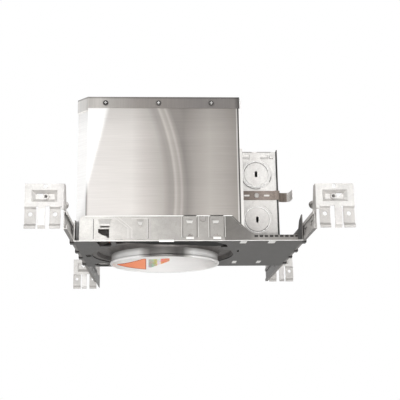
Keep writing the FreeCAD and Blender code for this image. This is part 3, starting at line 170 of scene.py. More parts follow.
# Painted light across the shell: a painted highlight on the left bend, a greyer middle, and a painted shadow
# line at the right edge
SHELL_LIGHT_AND_SHADE = ((-82.1, "#8b8784"), (-81.3, "#e9e7e5"), (-79, "#f5f4f3"), (-73.2, "#efedec"),
               (-72.6, "#8b8784"), (-71.8, "#9a9693"), (-71, "#d2cecb"), (-31, "#cdc9c5"), (-19, "#bbb6b2"),
               (-8, "#ada8a4"), (0, "#a29d98"), (18, "#898480"), (31, "#9a9590"), (42, "#a5a09b"),
               (54, "#9d9893"), (67.6, "#8d8883"), (68.3, "#d6d3d0"), (68.9, "#a5a19e"), (69.3, "#2b2927"),
               (70.3, "#3d3b39"), (70.6, "#aca8a4"), (73, "#a29e9a"))
# Painted highlight and shade across the crease, as greys at distances from its line
CREASE_LIGHT_AND_SHADE = ((-15, "#808080"), (-9, "#727272"), (-5.5, "#787878"), (-3.4, "#9a9a9a"), (-1.4, "#8c8c8c"),
                (0.4, "#888888"), (2.2, "#9c9c9c"), (4.4, "#848484"), (7.5, "#747474"), (15, "#808080"))
CREASE_SHADE = "#606060"
CREASE_HIGHLIGHT = "#a8a8a8"
# Painted light across the cap: light at the left corner, falling to painted shade at the right
CAP_LIGHT_AND_SHADE = ((-83, "#dcdad8"), (-74, "#cfccc9"), (-71, "#a9a5a1"), (-64, "#b5b1ad"), (-45, "#9d9995"),
             (-25, "#8a8581"), (0, "#807b77"), (35, "#767270"), (66, "#787471"), (69, "#5a5755"),
             (72, "#3a3836"))
# Painted glares and a painted dark reflection across the collar's outer wall
COLLAR_GLARES_AND_REFLECTION = ((-54, "#e9e7e5"), (-44, "#fbfaf9"), (-25, "#fbfaf9"), (-19, "#a19e9c"), (-14, "#62605e"),
                (-2, "#7d7a78"), (11, "#53514f"), (17, "#6a6866"), (22, "#c9c7c5"), (27, "#fbfaf9"),
                (54, "#eceae8"))
# Brown steel along the strap, with painted shade and a painted highlight at its curled free end
STRAP_STEEL_AND_HIGHLIGHT = ((70, "#8f857d"), (76, "#6c635c"), (84, "#776d66"), (94, "#8b8079"), (106, "#82776f"),
               (113, "#5d544d"), (116, "#6c635c"), (117.5, "#f2f0ee"), (122, "#fbfaf9"))
# Tones across the box, and painted shade across its foot, each with a black painted shadow line at the right
# edge
BOX_TONES = ((73, "#dad8d5"), (79, "#e0dedb"), (84, "#d3d0cd"), (92, "#dcdad7"), (104.6, "#e0dedb"),
             (105.4, "#ebe9e7"), (105.8, "#0c0c0c"), (107.4, "#0c0c0c"))
BOX_FOOT_SHADE_TONES = ((73, "#c4c2bf"), (77, "#a9a6a3"), (90, "#b9b6b3"), (104.6, "#c0bdba"), (105.4, "#cfcdca"),
                  (105.8, "#0c0c0c"), (107.4, "#0c0c0c"))
BAR_TONES = ((-119, "#d8d6d3"), (-98, "#dedcd9"), (-84.5, "#cfccca"), (127.5, "#c9c6c3"), (131, "#d8d6d3"),
             (163, "#d3d1ce"))
# The two outer legs of each nail bracket lie in shade, and the middle one in the plate's light
LEG_TONES = ((-119, "#c0bdba"), (-108.2, "#c4c2bf"), (-107.6, "#e6e4e2"), (-101.8, "#e6e4e2"),
             (-101.2, "#c4c2bf"), (-88, "#c0bdba"), (133, "#b3b0ad"), (145.2, "#bab7b4"), (145.8, "#cfccca"),
             (151.6, "#cfccca"), (152.2, "#bab7b4"), (163, "#c6c3c0"))


def linear(hex_colour):
    """Linear RGBA of an sRGB hex colour."""
    channels = [int(hex_colour[i:i + 2], 16) / 255 for i in (1, 3, 5)]
    return [c / 12.92 if c <= 0.04045 else ((c + 0.055) / 1.055) ** 2.4 for c in channels] + [1.0]


def add(tree, kind, settings=None, links=None):
    """Add a node: settings are attributes, input values or a ramp's stops, links feed its inputs."""
    made = tree.nodes.new(kind)
    for key, value in (settings or {}).items():
        if key == "stops":
            ramp = made.color_ramp.elements
            ramp.remove(ramp[1])
            for index, (position, colour) in enumerate(value):
                stop = ramp.new(position) if index else ramp[0]
                stop.position = position
                stop.color = linear(colour)
        elif isinstance(key, str) and hasattr(made, key):
            setattr(made, key, value)
        else:
            made.inputs[key].default_value = value
    for key, source in (links or {}).items():
        tree.links.new(source, made.inputs[key])
    return made


def tones_along(tree, measure, span, stops):
    """Colour that runs through stops, given in millimetres, as a measure runs along a span."""
    low, high = span
    shares = [((place - low) / (high - low), colour) for place, colour in stops]
    along = add(tree, "ShaderNodeMapRange", {1: low, 2: high}, {0: measure}).outputs[0]
    return add(tree, "ShaderNodeValToRGB", {"stops": shares}, {0: along}).outputs[0]


def tone_over(tree, colour, measure, span, tone):
    """Colour that gives way to one tone as a measure runs along a span."""
    share = add(tree, "ShaderNodeMapRange", {1: span[0], 2: span[1]}, {0: measure}).outputs[0]
    return add(tree, "ShaderNodeMix", {"data_type": "RGBA", 7: linear(tone)},
               {0: share, 6: colour}).outputs[2]


def gain_over(tree, colour, measure, span, gains):
    """Colour made darker or lighter by a factor that runs between two gains along a span."""
    gain = add(tree, "ShaderNodeMapRange", {1: span[0], 2: span[1], 3: gains[0], 4: gains[1]},
               {0: measure}).outputs[0]
    return add(tree, "ShaderNodeVectorMath", {"operation": "SCALE"}, {0: colour, "Scale": gain}).outputs[0]


def new_material(name):
    """Empty material with its tree and its place in millimetres."""
    material = bpy.data.materials.new(name)
    material.use_nodes = True
    tree = material.node_tree
    tree.nodes.clear()
    metres = add(tree, "ShaderNodeTexCoord").outputs["Object"]
    place = add(tree, "ShaderNodeVectorMath", {"operation": "SCALE", "Scale": 1000.0}, {0: metres}).outputs[0]
    return material, tree, place


def close(tree, colour, grain, rough, metallic, bump, depth_mm):
    """Principled surface whose roughness and bump follow one grain, wired to the tree's output."""
    spans = {1: NOISE_SPAN[0], 2: NOISE_SPAN[1], 3: rough[0], 4: rough[1]}
    roughness = add(tree, "ShaderNodeMapRange", spans, {0: grain}).outputs[0]
    normal = add(tree, "ShaderNodeBump", {"Strength": bump, "Distance": depth_mm / 1000},
                 {"Height": grain}).outputs[0]
    surface = add(tree, "ShaderNodeBsdfPrincipled", {"Metallic": metallic},
                  {"Base Color": colour, "Roughness": roughness, "Normal": normal})
    add(tree, "ShaderNodeOutputMaterial", None, {"Surface": surface.outputs[0]})
    return surface


def galvanised_sheet(name, span, front, below, side, outer, fold, above, squareness=(0.5, 0.8), foot=None,
                     flange=None, high_side=None):
    """Galvanised sheet: fine zinc mottle over painted light and shade, one tone for each way a folded face is
    turned.

    A face towards the front runs through the stops of front along X, which paint the light along it. foot
    gives two heights and the stops that those tones run into between them. Faces below, above and on the
    folds have one tone each, a painted shade or a painted highlight. Side faces have the painted shade
    side where they look inward, towards X = 0, and outer where they look outward. The two numbers of
    squareness say how squarely a face must lie to count.

    On the frame, flange gives a painted highlight for what stands out of the front flange and a painted
    shade for what lies behind its face. On the bars, high_side is the lighter painted tone of the side
    faces above the channel and near the front end.
    """
    material, tree, place = new_material(name)
    across, back, height = add(tree, "ShaderNodeSeparateXYZ", None, {0: place}).outputs
    colour = tones_along(tree, across, span, front)
    if foot:
        low = add(tree, "ShaderNodeMapRange", {1: foot[0], 2: foot[1]}, {0: height}).outputs[0]
        legs = tones_along(tree, across, span, foot[2])
        colour = add(tree, "ShaderNodeMix", {"data_type": "RGBA"}, {0: low, 6: colour, 7: legs}).outputs[2]
    if flange:
        colour = tone_over(tree, colour, back, FLANGE_PROUD, flange[0])
        colour = tone_over(tree, colour, back, FLANGE_PRESSED, flange[1])
    normal = add(tree, "ShaderNodeNewGeometry").outputs["Normal"]
    sideways, _, upward = add(tree, "ShaderNodeSeparateXYZ", None, {0: normal}).outputs
    colour = tone_over(tree, colour, upward, FOLD_TURN, fold)
    colour = tone_over(tree, colour, upward, BELOW_TURN, below)
    colour = tone_over(tree, colour, upward, squareness, above)
    # Side faces
    turned = add(tree, "ShaderNodeMath", {"operation": "ABSOLUTE"}, {0: sideways}).outputs[0]
    share = add(tree, "ShaderNodeMapRange", {1: squareness[0], 2: squareness[1]}, {0: turned}).outputs[0]
    if flange:
        behind = add(tree, "ShaderNodeMapRange", {1: FLANGE_SIDES[0], 2: FLANGE_SIDES[1]},
                     {0: back}).outputs[0]
        share = add(tree, "ShaderNodeMath", {"operation": "MULTIPLY"}, {0: share, 1: behind}).outputs[0]
    lift = add(tree, "ShaderNodeMapRange", {1: BAR_LIFT[0], 2: BAR_LIFT[1]}, {0: height}).outputs[0]
    near = add(tree, "ShaderNodeMapRange", {1: BAR_FRONT_END[0], 2: BAR_FRONT_END[1]}, {0: back}).outputs[0]
    lift = add(tree, "ShaderNodeMath", {"operation": "MAXIMUM"}, {0: lift, 1: near}).outputs[0]
    sides = add(tree, "ShaderNodeMix", {"data_type": "RGBA", 6: linear(side), 7: linear(high_side or side)},
                {0: lift}).outputs[2]
    outward = add(tree, "ShaderNodeMath", {"operation": "MULTIPLY"}, {0: sideways, 1: across}).outputs[0]
    sides = tone_over(tree, sides, outward, OUTWARD_SPAN, outer)
    colour = add(tree, "ShaderNodeMix", {"data_type": "RGBA"}, {0: share, 6: colour, 7: sides}).outputs[2]
    # Zinc crystals of about 3 mm, cloud of 14 mm and pits of about 1 mm
    crystals = add(tree, "ShaderNodeTexVoronoi", {"Scale": 0.34}, {"Vector": place}).outputs["Color"]
    cloud = add(tree, "ShaderNodeTexNoise", {"Scale": 0.07, "Detail": 3.0}, {"Vector": place}).outputs["Fac"]
    pits = add(tree, "ShaderNodeTexNoise", {"Scale": 0.9, "Detail": 5.0}, {"Vector": place}).outputs["Fac"]
    mottle = add(tree, "ShaderNodeMath", {"operation": "MULTIPLY_ADD", 1: 0.3},
                 {0: crystals, 2: cloud}).outputs[0]
    mottle = add(tree, "ShaderNodeMath", {"operation": "MULTIPLY_ADD", 1: 0.9},
                 {0: pits, 2: mottle}).outputs[0]
    colour = gain_over(tree, colour, mottle, (0.7, 1.5), (0.84, 1.12))
    close(tree, colour, pits, (0.38, 0.55), 0.35, 0.15, 0.05)
    return material


def shell_sheet():
    """Aluminium brushed level, with painted light, bright on the left and greyer to the right, and the light
    and shade of one long crease painted on.
    """
    material, tree, place = new_material("level_brushed_aluminium")
    across, back, height = add(tree, "ShaderNodeSeparateXYZ", None, {0: place}).outputs
    colour = tones_along(tree, across, SHELL_SPAN, SHELL_LIGHT_AND_SHADE)
    # The narrow bend at the right of the front faces the light, most of all above the box
    bend = add(tree, "ShaderNodeMapRange", {1: BEND_SPAN[0], 2: BEND_SPAN[1]}, {0: across}).outputs[0]
    in_front = add(tree, "ShaderNodeMapRange", {1: BEND_DEPTH[0], 2: BEND_DEPTH[1]}, {0: back}).outputs[0]
    bend = add(tree, "ShaderNodeMath", {"operation": "MULTIPLY"}, {0: bend, 1: in_front}).outputs[0]
    above_box = add(tree, "ShaderNodeMapRange", {1: BOX_TOP, 2: BOX_TOP + 1.0}, {0: height}).outputs[0]
    bright = add(tree, "ShaderNodeMix", {"data_type": "RGBA", 6: linear("#d6d4d1"), 7: linear("#fdfcfb")},
                 {0: above_box}).outputs[2]
    colour = add(tree, "ShaderNodeMix", {"data_type": "RGBA"}, {0: bend, 6: colour, 7: bright}).outputs[2]
    # Near-white sheen at the upper left, narrower further down
    edge = add(tree, "ShaderNodeMath", {"operation": "MULTIPLY_ADD", 1: SHEEN_SLOPE, 2: SHEEN_FOOT},
               {0: height}).outputs[0]
    inside = add(tree, "ShaderNodeMath", {"operation": "SUBTRACT"}, {0: edge, 1: across}).outputs[0]
    sheen = add(tree, "ShaderNodeMapRange",
                {1: SHEEN_BLEND[0], 2: SHEEN_BLEND[1], "interpolation_type": "SMOOTHSTEP"},
                {0: inside}).outputs[0]
    colour = add(tree, "ShaderNodeMix", {"data_type": "RGBA", 7: linear("#fdfcfb")},
                 {0: sheen, 6: colour}).outputs[2]
    # Crease: a bend in X that grows with the square of the height over CREASE_Z, painted in highlight and
    # shade
    rise = add(tree, "ShaderNodeMath", {"operation": "SUBTRACT", 1: CREASE_Z}, {0: height}).outputs[0]
    square = add(tree, "ShaderNodeMath", {"operation": "MULTIPLY"}, {0: rise, 1: rise}).outputs[0]
    from_line = add(tree, "ShaderNodeMath", {"operation": "MULTIPLY_ADD", 1: CREASE_BEND},
                    {0: square, 2: across}).outputs[0]
    lines = [(CREASE_X + offset, grey) for offset, grey in CREASE_LIGHT_AND_SHADE]
    relief = tones_along(tree, from_line, (CREASE_X - CREASE_REACH, CREASE_X + CREASE_REACH), lines)
    greys = (linear(CREASE_SHADE)[0], linear(CREASE_HIGHLIGHT)[0])
    colour = gain_over(tree, colour, relief, greys, (0.66, 1.62))
    # Painted shade, a little darker under the cap
    colour = gain_over(tree, colour, height, (SHELL_TOP - UNDER_CAP, SHELL_TOP), (1.0, 0.84))
    # Hair lines about 0.8 mm apart, and bands of about 8 mm of the same brushing
    stretched = add(tree, "ShaderNodeMapping", {"Scale": (0.02, 0.02, 1.0)}, {"Vector": place}).outputs[0]
    hairs = add(tree, "ShaderNodeTexNoise", {"Scale": 1.3, "Detail": 6.0},
                {"Vector": stretched}).outputs["Fac"]
    bands = add(tree, "ShaderNodeTexNoise", {"Scale": 0.12, "Detail": 2.0},
                {"Vector": stretched}).outputs["Fac"]
    brushing = add(tree, "ShaderNodeMath", {"operation": "MULTIPLY_ADD", 1: 0.5},
                   {0: bands, 2: hairs}).outputs[0]
    colour = gain_over(tree, colour, brushing, (0.5, 1.0), (0.93, 1.06))
    close(tree, colour, hairs, (0.34, 0.46), 0.45, 0.2, 0.02)
    return material


def cap_sheet():
    """Cap sheet brushed upright, with painted light at the left corner falling to painted shade at the right.
    """
    material, tree, place = new_material("upright_brushed_cap_sheet")
    across, _, height = add(tree, "ShaderNodeSeparateXYZ", None, {0: place}).outputs
    colour = tones_along(tree, across, SHELL_SPAN, CAP_LIGHT_AND_SHADE)
    # Hair lines about 1 mm apart, and bands of about 17 mm
    stretched = add(tree, "ShaderNodeMapping", {"Scale": (1.0, 1.0, 0.04)}, {"Vector": place}).outputs[0]
    hairs = add(tree, "ShaderNodeTexNoise", {"Scale": 0.9, "Detail": 5.0},
                {"Vector": stretched}).outputs["Fac"]
    bands = add(tree, "ShaderNodeTexNoise", {"Scale": 0.06, "Detail": 2.0},
                {"Vector": stretched}).outputs["Fac"]
    brushing = add(tree, "ShaderNodeMath", {"operation": "MULTIPLY_ADD", 1: 0.9},
                   {0: bands, 2: hairs}).outputs[0]
    colour = gain_over(tree, colour, brushing, (0.6, 1.3), (0.9, 1.1))
    for start, end, gain in CAP_EDGES:
        colour = gain_over(tree, colour, height, (start, end), (1.0, gain))
    close(tree, colour, hairs, (0.36, 0.5), 0.45, 0.2, 0.02)
    return material


def collar_sheet():
    """Bright rolled aluminium: white inside, and outside a painted dark reflection in the middle between two
    painted glares.
    """
    material, tree, place = new_material("bright_rolled_aluminium")
    across, back, height = add(tree, "ShaderNodeSeparateXYZ", None, {0: place}).outputs
    flat = add(tree, "ShaderNodeCombineXYZ", None, {0: across, 1: back}).outputs[0]
    radius = add(tree, "ShaderNodeVectorMath", {"operation": "LENGTH"}, {0: flat}).outputs["Value"]
    walls = {1: COLLAR_WALL_MIDDLE - COLLAR_WALL_BLEND, 2: COLLAR_WALL_MIDDLE + COLLAR_WALL_BLEND}
    outside = add(tree, "ShaderNodeMapRange", walls, {0: radius}).outputs[0]
    outer = tones_along(tree, across, COLLAR_SPAN, COLLAR_GLARES_AND_REFLECTION)
    # Under the pan the outer wall mirrors the dull pan
    outer = tone_over(tree, outer, height, COLLAR_SHADE, "#6f6c6a")
    colour = add(tree, "ShaderNodeMix", {"data_type": "RGBA", 6: linear("#fbfaf9")},
                 {0: outside, 7: outer}).outputs[2]
    # Level rolling marks about 1 mm apart
    rolled = add(tree, "ShaderNodeMapping", {"Scale": (0.05, 0.05, 1.0)}, {"Vector": place}).outputs[0]
    rings = add(tree, "ShaderNodeTexNoise", {"Scale": 1.1, "Detail": 3.0}, {"Vector": rolled}).outputs["Fac"]
    colour = gain_over(tree, colour, rings, NOISE_SPAN, (0.97, 1.02))
    surface = close(tree, colour, rings, (0.28, 0.34), 0.0, 0.03, 0.02)
    polish = add(tree, "ShaderNodeMapRange", {3: 0.05, 4: 0.3}, {0: outside}).outputs[0]
    tree.links.new(polish, surface.inputs["Metallic"])
    return material


def plain_metal(name, dark, light, metallic, rough, grain_mm=2.0, bump=0.08):
    """Small turned, drawn, plated or moulded part: fine grain and slight cloudiness."""
    material, tree, place = new_material(name)
    grain = add(tree, "ShaderNodeTexNoise", {"Scale": 1.0 / grain_mm, "Detail": 4.0},
                {"Vector": place}).outputs["Fac"]
    cloud = add(tree, "ShaderNodeTexNoise", {"Scale": 0.11, "Detail": 2.0}, {"Vector": place}).outputs["Fac"]
    cloudiness = [(NOISE_SPAN[0], dark), (NOISE_SPAN[1], light)]
    colour = add(tree, "ShaderNodeValToRGB", {"stops": cloudiness}, {0: cloud}).outputs[0]
    close(tree, colour, grain, rough, metallic, bump, 0.03)
    return material


def strap_steel():
    """Brown tempered steel, scuffed, with painted shade and a painted highlight on the strap's curled free
    end.
    """
    material, tree, place = new_material("tempered_spring_steel")
    across = add(tree, "ShaderNodeSeparateXYZ", None, {0: place}).outputs[0]
    colour = tones_along(tree, across, STRAP_SPAN, STRAP_STEEL_AND_HIGHLIGHT)
    scuffs = add(tree, "ShaderNodeTexNoise", {"Scale": 0.8, "Detail": 6.0}, {"Vector": place}).outputs["Fac"]
    colour = gain_over(tree, colour, scuffs, NOISE_SPAN, (0.78, 1.2))
    close(tree, colour, scuffs, (0.32, 0.48), 0.5, 0.15, 0.04)
    return material


def label_paper(name, stops, span, patchy=0.0):
    """Printed paper label: plain colour fields along X with soft fibre, and no lettering."""
    material, tree, place = new_material(name)
    across = add(tree, "ShaderNodeSeparateXYZ", None, {0: place}).outputs[0]
    colour = tones_along(tree, across, span, stops)
    patches = add(tree, "ShaderNodeTexVoronoi", {"Scale": 0.55}, {"Vector": place}).outputs["Color"]
    colour = add(tree, "ShaderNodeMix", {"data_type": "RGBA", 0: patchy}, {6: colour, 7: patches}).outputs[2]
    fibre = add(tree, "ShaderNodeTexNoise", {"Scale": 1.4, "Detail": 3.0}, {"Vector": place}).outputs["Fac"]
    colour = gain_over(tree, colour, fibre, NOISE_SPAN, (0.95, 1.03))
    close(tree, colour, fibre, (0.5, 0.6), 0.0, 0.1, 0.02)
    return material


MATERIALS = {
    # Galvanised steel, hot dipped, with painted shade below and on the inner sides and a painted highlight on
    # the fold
    "galvanised_frame": galvanised_sheet("hot_dip_galvanised_frame", FRAME_SPAN, FRAME_LIGHT_TONES,
                                         below="#595857", side="#2f2e2d", outer="#b3b0ad",
                                         fold="#f4f3f1", above="#c4c2bf", flange=("#dddbd8", "#24211f")),
    # Aluminium sheet brushed level, with a soft upright sheen
    "brushed_aluminium": shell_sheet(),
    # Aluminium sheet brushed level, with painted light, a painted upright sheen and a painted crease
    "galvanised_cap": cap_sheet(),
    # Cap sheet brushed upright, darker than the shell, with painted light and shade across it
    "zinc_fasteners": plain_metal("zinc_plated_steel", "#8f8b88", "#bdbab7", 0.6, (0.28, 0.4)),
    # Drawn aluminium pan, dull, and darkened further by painted shade
    "dark_aluminium": plain_metal("dull_shaded_drawn_aluminium", "#565351", "#6d6967", 0.5, (0.4, 0.55), 3.0),
    # Rolled aluminium collar, bright, with painted glares and a painted dark reflection outside
    "bright_aluminium": collar_sheet(),
    # Glazed porcelain, off-white and glossy
    "porcelain": plain_metal("glazed_porcelain", "#e9e6df", "#f4f2ec", 0.0, (0.12, 0.2), 6.0, 0.02),
    # Rolled brass, warm and bright
    "brass": plain_metal("rolled_brass", "#b58c45", "#d0aa62", 0.9, (0.22, 0.35)),
    # Moulded nylon, black and satin
    "black_plastic": plain_metal("moulded_black_nylon", "#1b1b1c", "#262627", 0.0, (0.4, 0.55), 1.0, 0.1),
    # Light galvanised box sheet, with painted shade at its foot, on its sides and at its folds
    "galvanised_box": galvanised_sheet("light_galvanised_box", BOX_SPAN, BOX_TONES,
                                       below="#f2f1ef", side="#151515", outer="#c9c6c3",
                                       fold="#6d6a68", above="#efedeb", foot=(*BOX_FOOT, BOX_FOOT_SHADE_TONES)),
    # Tempered spring steel, brown oxide, with a painted highlight on its curled end
    "spring_steel": strap_steel(),
    # Green zinc plated earth screw
    "green_screw": plain_metal("green_passivated_screw", "#2d6b3f", "#3d8450", 0.6, (0.3, 0.4)),
    # Bright galvanised strip of the hanger bars, with painted shade below, on the sides and on the bracket
    # legs
    "galvanised_bar": galvanised_sheet("bright_galvanised_strip", BAR_SPAN, BAR_TONES,
                                       below="#8a8785", side="#565452", outer="#bebbb8",
                                       fold="#bebbb8", above="#d6d4d1", squareness=(0.88, 0.96),
                                       foot=(*BRACKET_LEGS, LEG_TONES), high_side="#c4c1be"),
    # Bright drawn wire nail
    "bright_nail": plain_metal("bright_drawn_wire", "#6f6c6a", "#b4b1ae", 0.8, (0.25, 0.4)),
}

# Nodes whose finish differs from that of their slot
OWN_FINISH = {
    "cable_clamp": MATERIALS["galvanised_box"],
    "box_screw": MATERIALS["galvanised_box"],
    # Zinc on the cap's screws, darkened with painted shade
    "cap_screws": plain_metal("shade_darkened_zinc_steel", "#3b3937", "#5d5a58", 0.5, (0.3, 0.4)),
}


def dress_cad_nodes():
    """Give each CAD node the finish of its record slot, or its own."""
    slots = {entry["node"]: entry["material_slot"] for entry in frame["record"]["subparts"]}
    for name, thing in frame["nodes"].items():
        thing.data.materials.clear()
        thing.data.materials.append(OWN_FINISH.get(name) or MATERIALS[slots[name]])


def finish_piece(name, mesh, material, body):
    """Link a finished bmesh as a piece that rides on a body."""
    bmesh.ops.recalc_face_normals(mesh, faces=mesh.faces)
    data = bpy.data.meshes.new(name)
    mesh.to_mesh(data)
    mesh.free()
    data.materials.append(material)
    piece = bpy.data.objects.new(name, data)
    bpy.context.scene.collection.objects.link(piece)
    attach(piece, body)
    return piece


def collar_label(name, degrees, heights, cuts, material, lift=0.0):
    """Thin label on the collar's inner wall: an upright edge spun round the wall, then trimmed."""
    radius = COLLAR_INSIDE - LABEL_OFFSET - LABEL_THICKNESS - lift
    start = math.radians(degrees[0])
    mesh = bmesh.new()
    low, high = heights
    levels = [low + (high - low) * i / LABEL_ROWS for i in range(LABEL_ROWS + 1)]
    edge = [mesh.verts.new((radius * math.cos(start), radius * math.sin(start), level)) for level in levels]
    edges = [mesh.edges.new(pair) for pair in zip(edge, edge[1:])]
    bmesh.ops.spin(mesh, geom=edge + edges, cent=(0, 0, 0), axis=(0, 0, 1),
                   angle=math.radians(degrees[1] - degrees[0]), steps=LABEL_STEPS)
    for point, normal in cuts:
        whole = mesh.verts[:] + mesh.edges[:] + mesh.faces[:]
        bmesh.ops.bisect_plane(mesh, geom=whole, plane_co=point, plane_no=normal, clear_outer=True)
    bmesh.ops.remove_doubles(mesh, verts=mesh.verts, dist=1e-6)
    bmesh.ops.solidify(mesh, geom=mesh.faces[:], thickness=LABEL_THICKNESS)
    return finish_piece(name, mesh, material, "housing")


def labels():
    """Two plain labels inside the collar, as colour fields without words."""
    orange = label_paper("orange_label_paper", [(-49, "#ff9a70"), (-20, "#ffa47c")], (-49, -20))
    collar_label("orange_label", (112.7, 157.6), (-0.0068, 0.0040),
                 [(ORANGE_TIP, (-0.36, -0.02, 1.0)), (ORANGE_TIP, (-0.02, 0.0, -1.0))], orange)
    border = label_paper("red_label_border", [(-50, "#c0563a"), (-19, "#a84a33")], (-50, -19))
    collar_label("orange_label_border", (112.0, 158.3), (-0.0072, 0.0044),
                 [(ORANGE_TIP + ORANGE_BORDER, (-0.36, -0.02, 1.0)),
                  (ORANGE_TIP - ORANGE_BORDER, (-0.02, 0.0, -1.0))], border, -LABEL_OFFSET / 2)
    fields = label_paper("colour_field_label_paper",
                         [(-17, "#b9b3bd"), (-13, "#a9bd8f"), (-8.5, "#c9c46a"), (-7.5, "#f3ece4"),
                          (-4.5, "#f6efe8"), (-3.5, "#ff9a62"), (6, "#f98d5a")], (-17, 6), 0.22)
    collar_label("colour_field_label", (84.1, 109.0), (-0.0047, 0.0052),
                 [((-0.0145, 0.05, -0.0047), (0.36, 0.0, -1.0)), ((-0.017, 0.05, 0.0038), (-0.07, 0.0, 1.0))],
                 fields)


def relief_shadow_sheet():
    """Thin black sheet in the front of the plate's relief, between the fold and the pan, painting the shadow
    there.
    """
    mesh = bmesh.new()
    low, high = SHADOW_SHEET_LEVELS
    rim = [mesh.verts.new((x / 1000, y / 1000, low)) for x, y in SHADOW_SHEET_OUTLINE]
    face = bmesh.ops.contextual_create(mesh, geom=rim)["faces"]
    top = bmesh.ops.extrude_face_region(mesh, geom=face)["geom"]
    risen = [piece for piece in top if isinstance(piece, bmesh.types.BMVert)]
    bmesh.ops.translate(mesh, verts=risen, vec=(0, 0, high - low))
    shadow_black = plain_metal("black_shadow_sheet", "#0b0b0b", "#121212", 0.0, (0.8, 0.9), 1.0, 0.2)
    finish_piece("relief_shadow_sheet", mesh, shadow_black, "housing")


def beads(name, runs, width, rise, material):
    """Low square-edged beads on a front face, strips that carry a painted highlight or a painted shade line:
    each run is a depth and the points it passes in X and Z.
    """
    mesh = bmesh.new()
    for depth, points in runs:
        for (x0, z0), (x1, z1) in zip(points, points[1:]):
            length = math.hypot(x1 - x0, z1 - z0) + width
            turn = math.atan2(z1 - z0, x1 - x0)
            middle = Vector(((x0 + x1) / 2, depth - rise / 2, (z0 + z1) / 2)) / 1000
            place = Matrix.Translation(middle) @ Matrix.Rotation(-turn, 4, "Y")
            bmesh.ops.create_cube(mesh, size=0.001,
                                  matrix=place @ Matrix.Diagonal((length, rise, width, 1.0)))
    return finish_piece(name, mesh, material, "housing")


def flange_edges():
    """Painted highlights along the edges of the ribs, seams and panels on the front flange, its hem and the
    fold's hook.
    """
    runs = [(RIB_DEPTH, points) for points in RIB_RUNS] + [(FLANGE_FACE, points) for points in SEAM_RUNS]
    low, high = PANEL_HEIGHTS
    for middle in PANEL_MIDDLES:
        for edge in (middle - PANEL_HALF_WIDTH, middle + PANEL_HALF_WIDTH):
            runs.append((PANEL_DEPTH, ((edge, low), (edge, high))))
    # Painted highlights on the ribs, seams and panel edges
    edge_glint = plain_metal("painted_edge_highlight_zinc", "#c9c6c3", "#d9d7d4", 0.2, (0.3, 0.4))
    beads("flange_edge_highlights", runs, 0.5, 0.12, edge_glint)
    # Painted highlight on the hem and on the fold's hook
    bright = plain_metal("fold_highlight_zinc", "#f2f1ef", "#fbfaf9", 0.2, (0.3, 0.4))
    beads("flange_hem_edge", [(HEM_DEPTH, HEM_RUN)], 0.7, 0.6, bright)
    beads("fold_hook", [(HOOK_DEPTH, HOOK_RUN)], 1.9, 0.5, bright)


def arc_runs(middle, arcs):
    """Runs along arcs on the box's front wall, each a radius in millimetres and its ends in degrees."""
    runs = []
    for radius, start, end in arcs:
        turns = [math.radians(start + (end - start) * i / ARC_PIECES) for i in range(ARC_PIECES + 1)]
        points = [(middle[0] + radius * math.cos(t), middle[1] + radius * math.sin(t)) for t in turns]
        runs.append((BOX_FACE, points))
    return runs


def box_edges():
    """Painted shade and painted highlights along the edges of the knockouts and of the folds at the box's
    front wall.
    """
    dark = arc_runs(UPPER_KNOCKOUT, UPPER_SHADED_ARCS) + arc_runs(LOWER_KNOCKOUT, LOWER_SHADED_ARCS)
    dark += [(BOX_FACE, points) for points in BOX_FOLD_RUNS]
    shaded = plain_metal("shaded_zinc_edge", "#6b6866", "#8b8886", 0.2, (0.4, 0.5))
    beads("box_shaded_edges", dark, 0.5, 0.1, shaded)
    bright = arc_runs(UPPER_KNOCKOUT, UPPER_BRIGHT_ARCS) + arc_runs(LOWER_KNOCKOUT, LOWER_BRIGHT_ARCS)
    edge_glint = plain_metal("bright_zinc_edge", "#f2f1ef", "#fbfaf9", 0.2, (0.3, 0.4))
    beads("box_bright_edges", bright, 0.6, 0.1, edge_glint)


def screw_recesses():
    """Cross recesses in the heads of the six cap screws, light as painted highlights."""
    mesh = bmesh.new()
    for depth, out in CAP_SCREW_FACES:
        for middle in CAP_SCREW_MIDDLES:
            for width, height in ((RECESS_LENGTH, RECESS_WIDTH), (RECESS_WIDTH, RECESS_LENGTH)):
                place = Matrix.Translation(Vector((middle, depth + out * 0.02, CAP_SCREW_LEVEL)) / 1000)
                size = Matrix.Diagonal((width, RECESS_DEPTH, height, 1.0))
                bmesh.ops.create_cube(mesh, size=0.001, matrix=place @ size)
    # Painted highlight in the cross recesses
    edges = plain_metal("recess_highlight_zinc", "#e3e1df", "#f0efed", 0.3, (0.3, 0.4))
    finish_piece("cap_screw_recesses", mesh, edges, "housing")


def camera():
    """Camera at the photograph's place and angle."""
    yaw, pitch, roll = (math.radians(a) for a in (CAMERA_YAW, CAMERA_PITCH, CAMERA_ROLL))
    ahead = Vector((math.sin(yaw) * math.cos(pitch), math.cos(yaw) * math.cos(pitch), math.sin(pitch)))
    level = Vector((math.cos(yaw), -math.sin(yaw), 0))
    upright = level.cross(ahead)
    right = math.cos(roll) * level + math.sin(roll) * upright
    up = -math.sin(roll) * level + math.cos(roll) * upright
    data = bpy.data.cameras.new("camera")
    data.lens = CAMERA_LENS
    data.sensor_width = CAMERA_SENSOR
    eye = bpy.data.objects.new("camera", data)
    bpy.context.scene.collection.objects.link(eye)
    eye.matrix_world = Matrix.Translation(CAMERA_PLACE) @ Matrix((right, up, -ahead)).transposed().to_4x4()
    bpy.context.scene.camera = eye


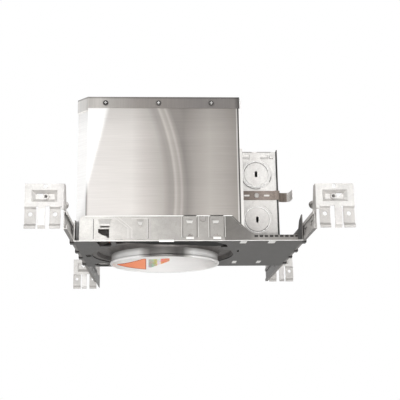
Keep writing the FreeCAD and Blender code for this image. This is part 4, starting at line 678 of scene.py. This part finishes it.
def lamp(name, place, size, power):
    """Square soft light aimed at the housing."""
    data = bpy.data.lights.new(name, "AREA")
    data.shape = "SQUARE"
    data.size = size
    data.energy = power
    light = bpy.data.objects.new(name, data)
    bpy.context.scene.collection.objects.link(light)
    light.location = place
    light.rotation_euler = (Vector(HOUSING_MIDDLE) - Vector(place)).to_track_quat("-Z", "Y").to_euler()


def studio():
    """Pale floor, white surroundings for the lens and for reflections, and soft lights."""
    mesh = bmesh.new()
    bmesh.ops.create_grid(mesh, x_segments=2, y_segments=2, size=FLOOR_REACH,
                          matrix=Matrix.Translation((0, 0, FLOOR_LEVEL)))
    data = bpy.data.meshes.new("floor")
    mesh.to_mesh(data)
    mesh.free()
    floor = bpy.data.objects.new("floor", data)
    bpy.context.scene.collection.objects.link(floor)
    data.materials.append(plain_metal("pale_floor_paint", "#f0efed", "#f5f4f2", 0.0, (0.75, 0.85), 4.0, 0.05))

    world = bpy.data.worlds.new("studio")
    bpy.context.scene.world = world
    world.use_nodes = True
    tree = world.node_tree
    tree.nodes.clear()
    path = add(tree, "ShaderNodeLightPath")
    seen = add(tree, "ShaderNodeMath", {"operation": "MAXIMUM"},
               {0: path.outputs["Is Camera Ray"], 1: path.outputs["Is Transmission Ray"]}).outputs[0]
    shown = add(tree, "ShaderNodeMath", {"operation": "MAXIMUM"},
                {0: seen, 1: path.outputs["Is Glossy Ray"]}).outputs[0]
    strength = add(tree, "ShaderNodeMapRange", {3: SKY_LIGHT, 4: SKY_SEEN}, {0: shown}).outputs[0]
    sky = add(tree, "ShaderNodeBackground", {"Color": (1.0, 1.0, 1.0, 1.0)}, {"Strength": strength})
    add(tree, "ShaderNodeOutputWorld", None, {"Surface": sky.outputs[0]})

    lamp("left_key", (-1.1, -1.3, 0.5), 0.9, 7.0)
    lamp("low_front_fill", (0.1, -1.0, -0.36), 0.5, 11.0)
    lamp("right_fill", (1.2, -1.1, 0.5), 0.9, 1.5)
    lamp("rear_top", (0.2, 0.9, 1.2), 0.9, 14.0)
    bpy.context.scene.view_settings.view_transform = "Standard"


dress_cad_nodes()
relief_shadow_sheet()
flange_edges()
box_edges()
screw_recesses()
labels()
camera()
studio()
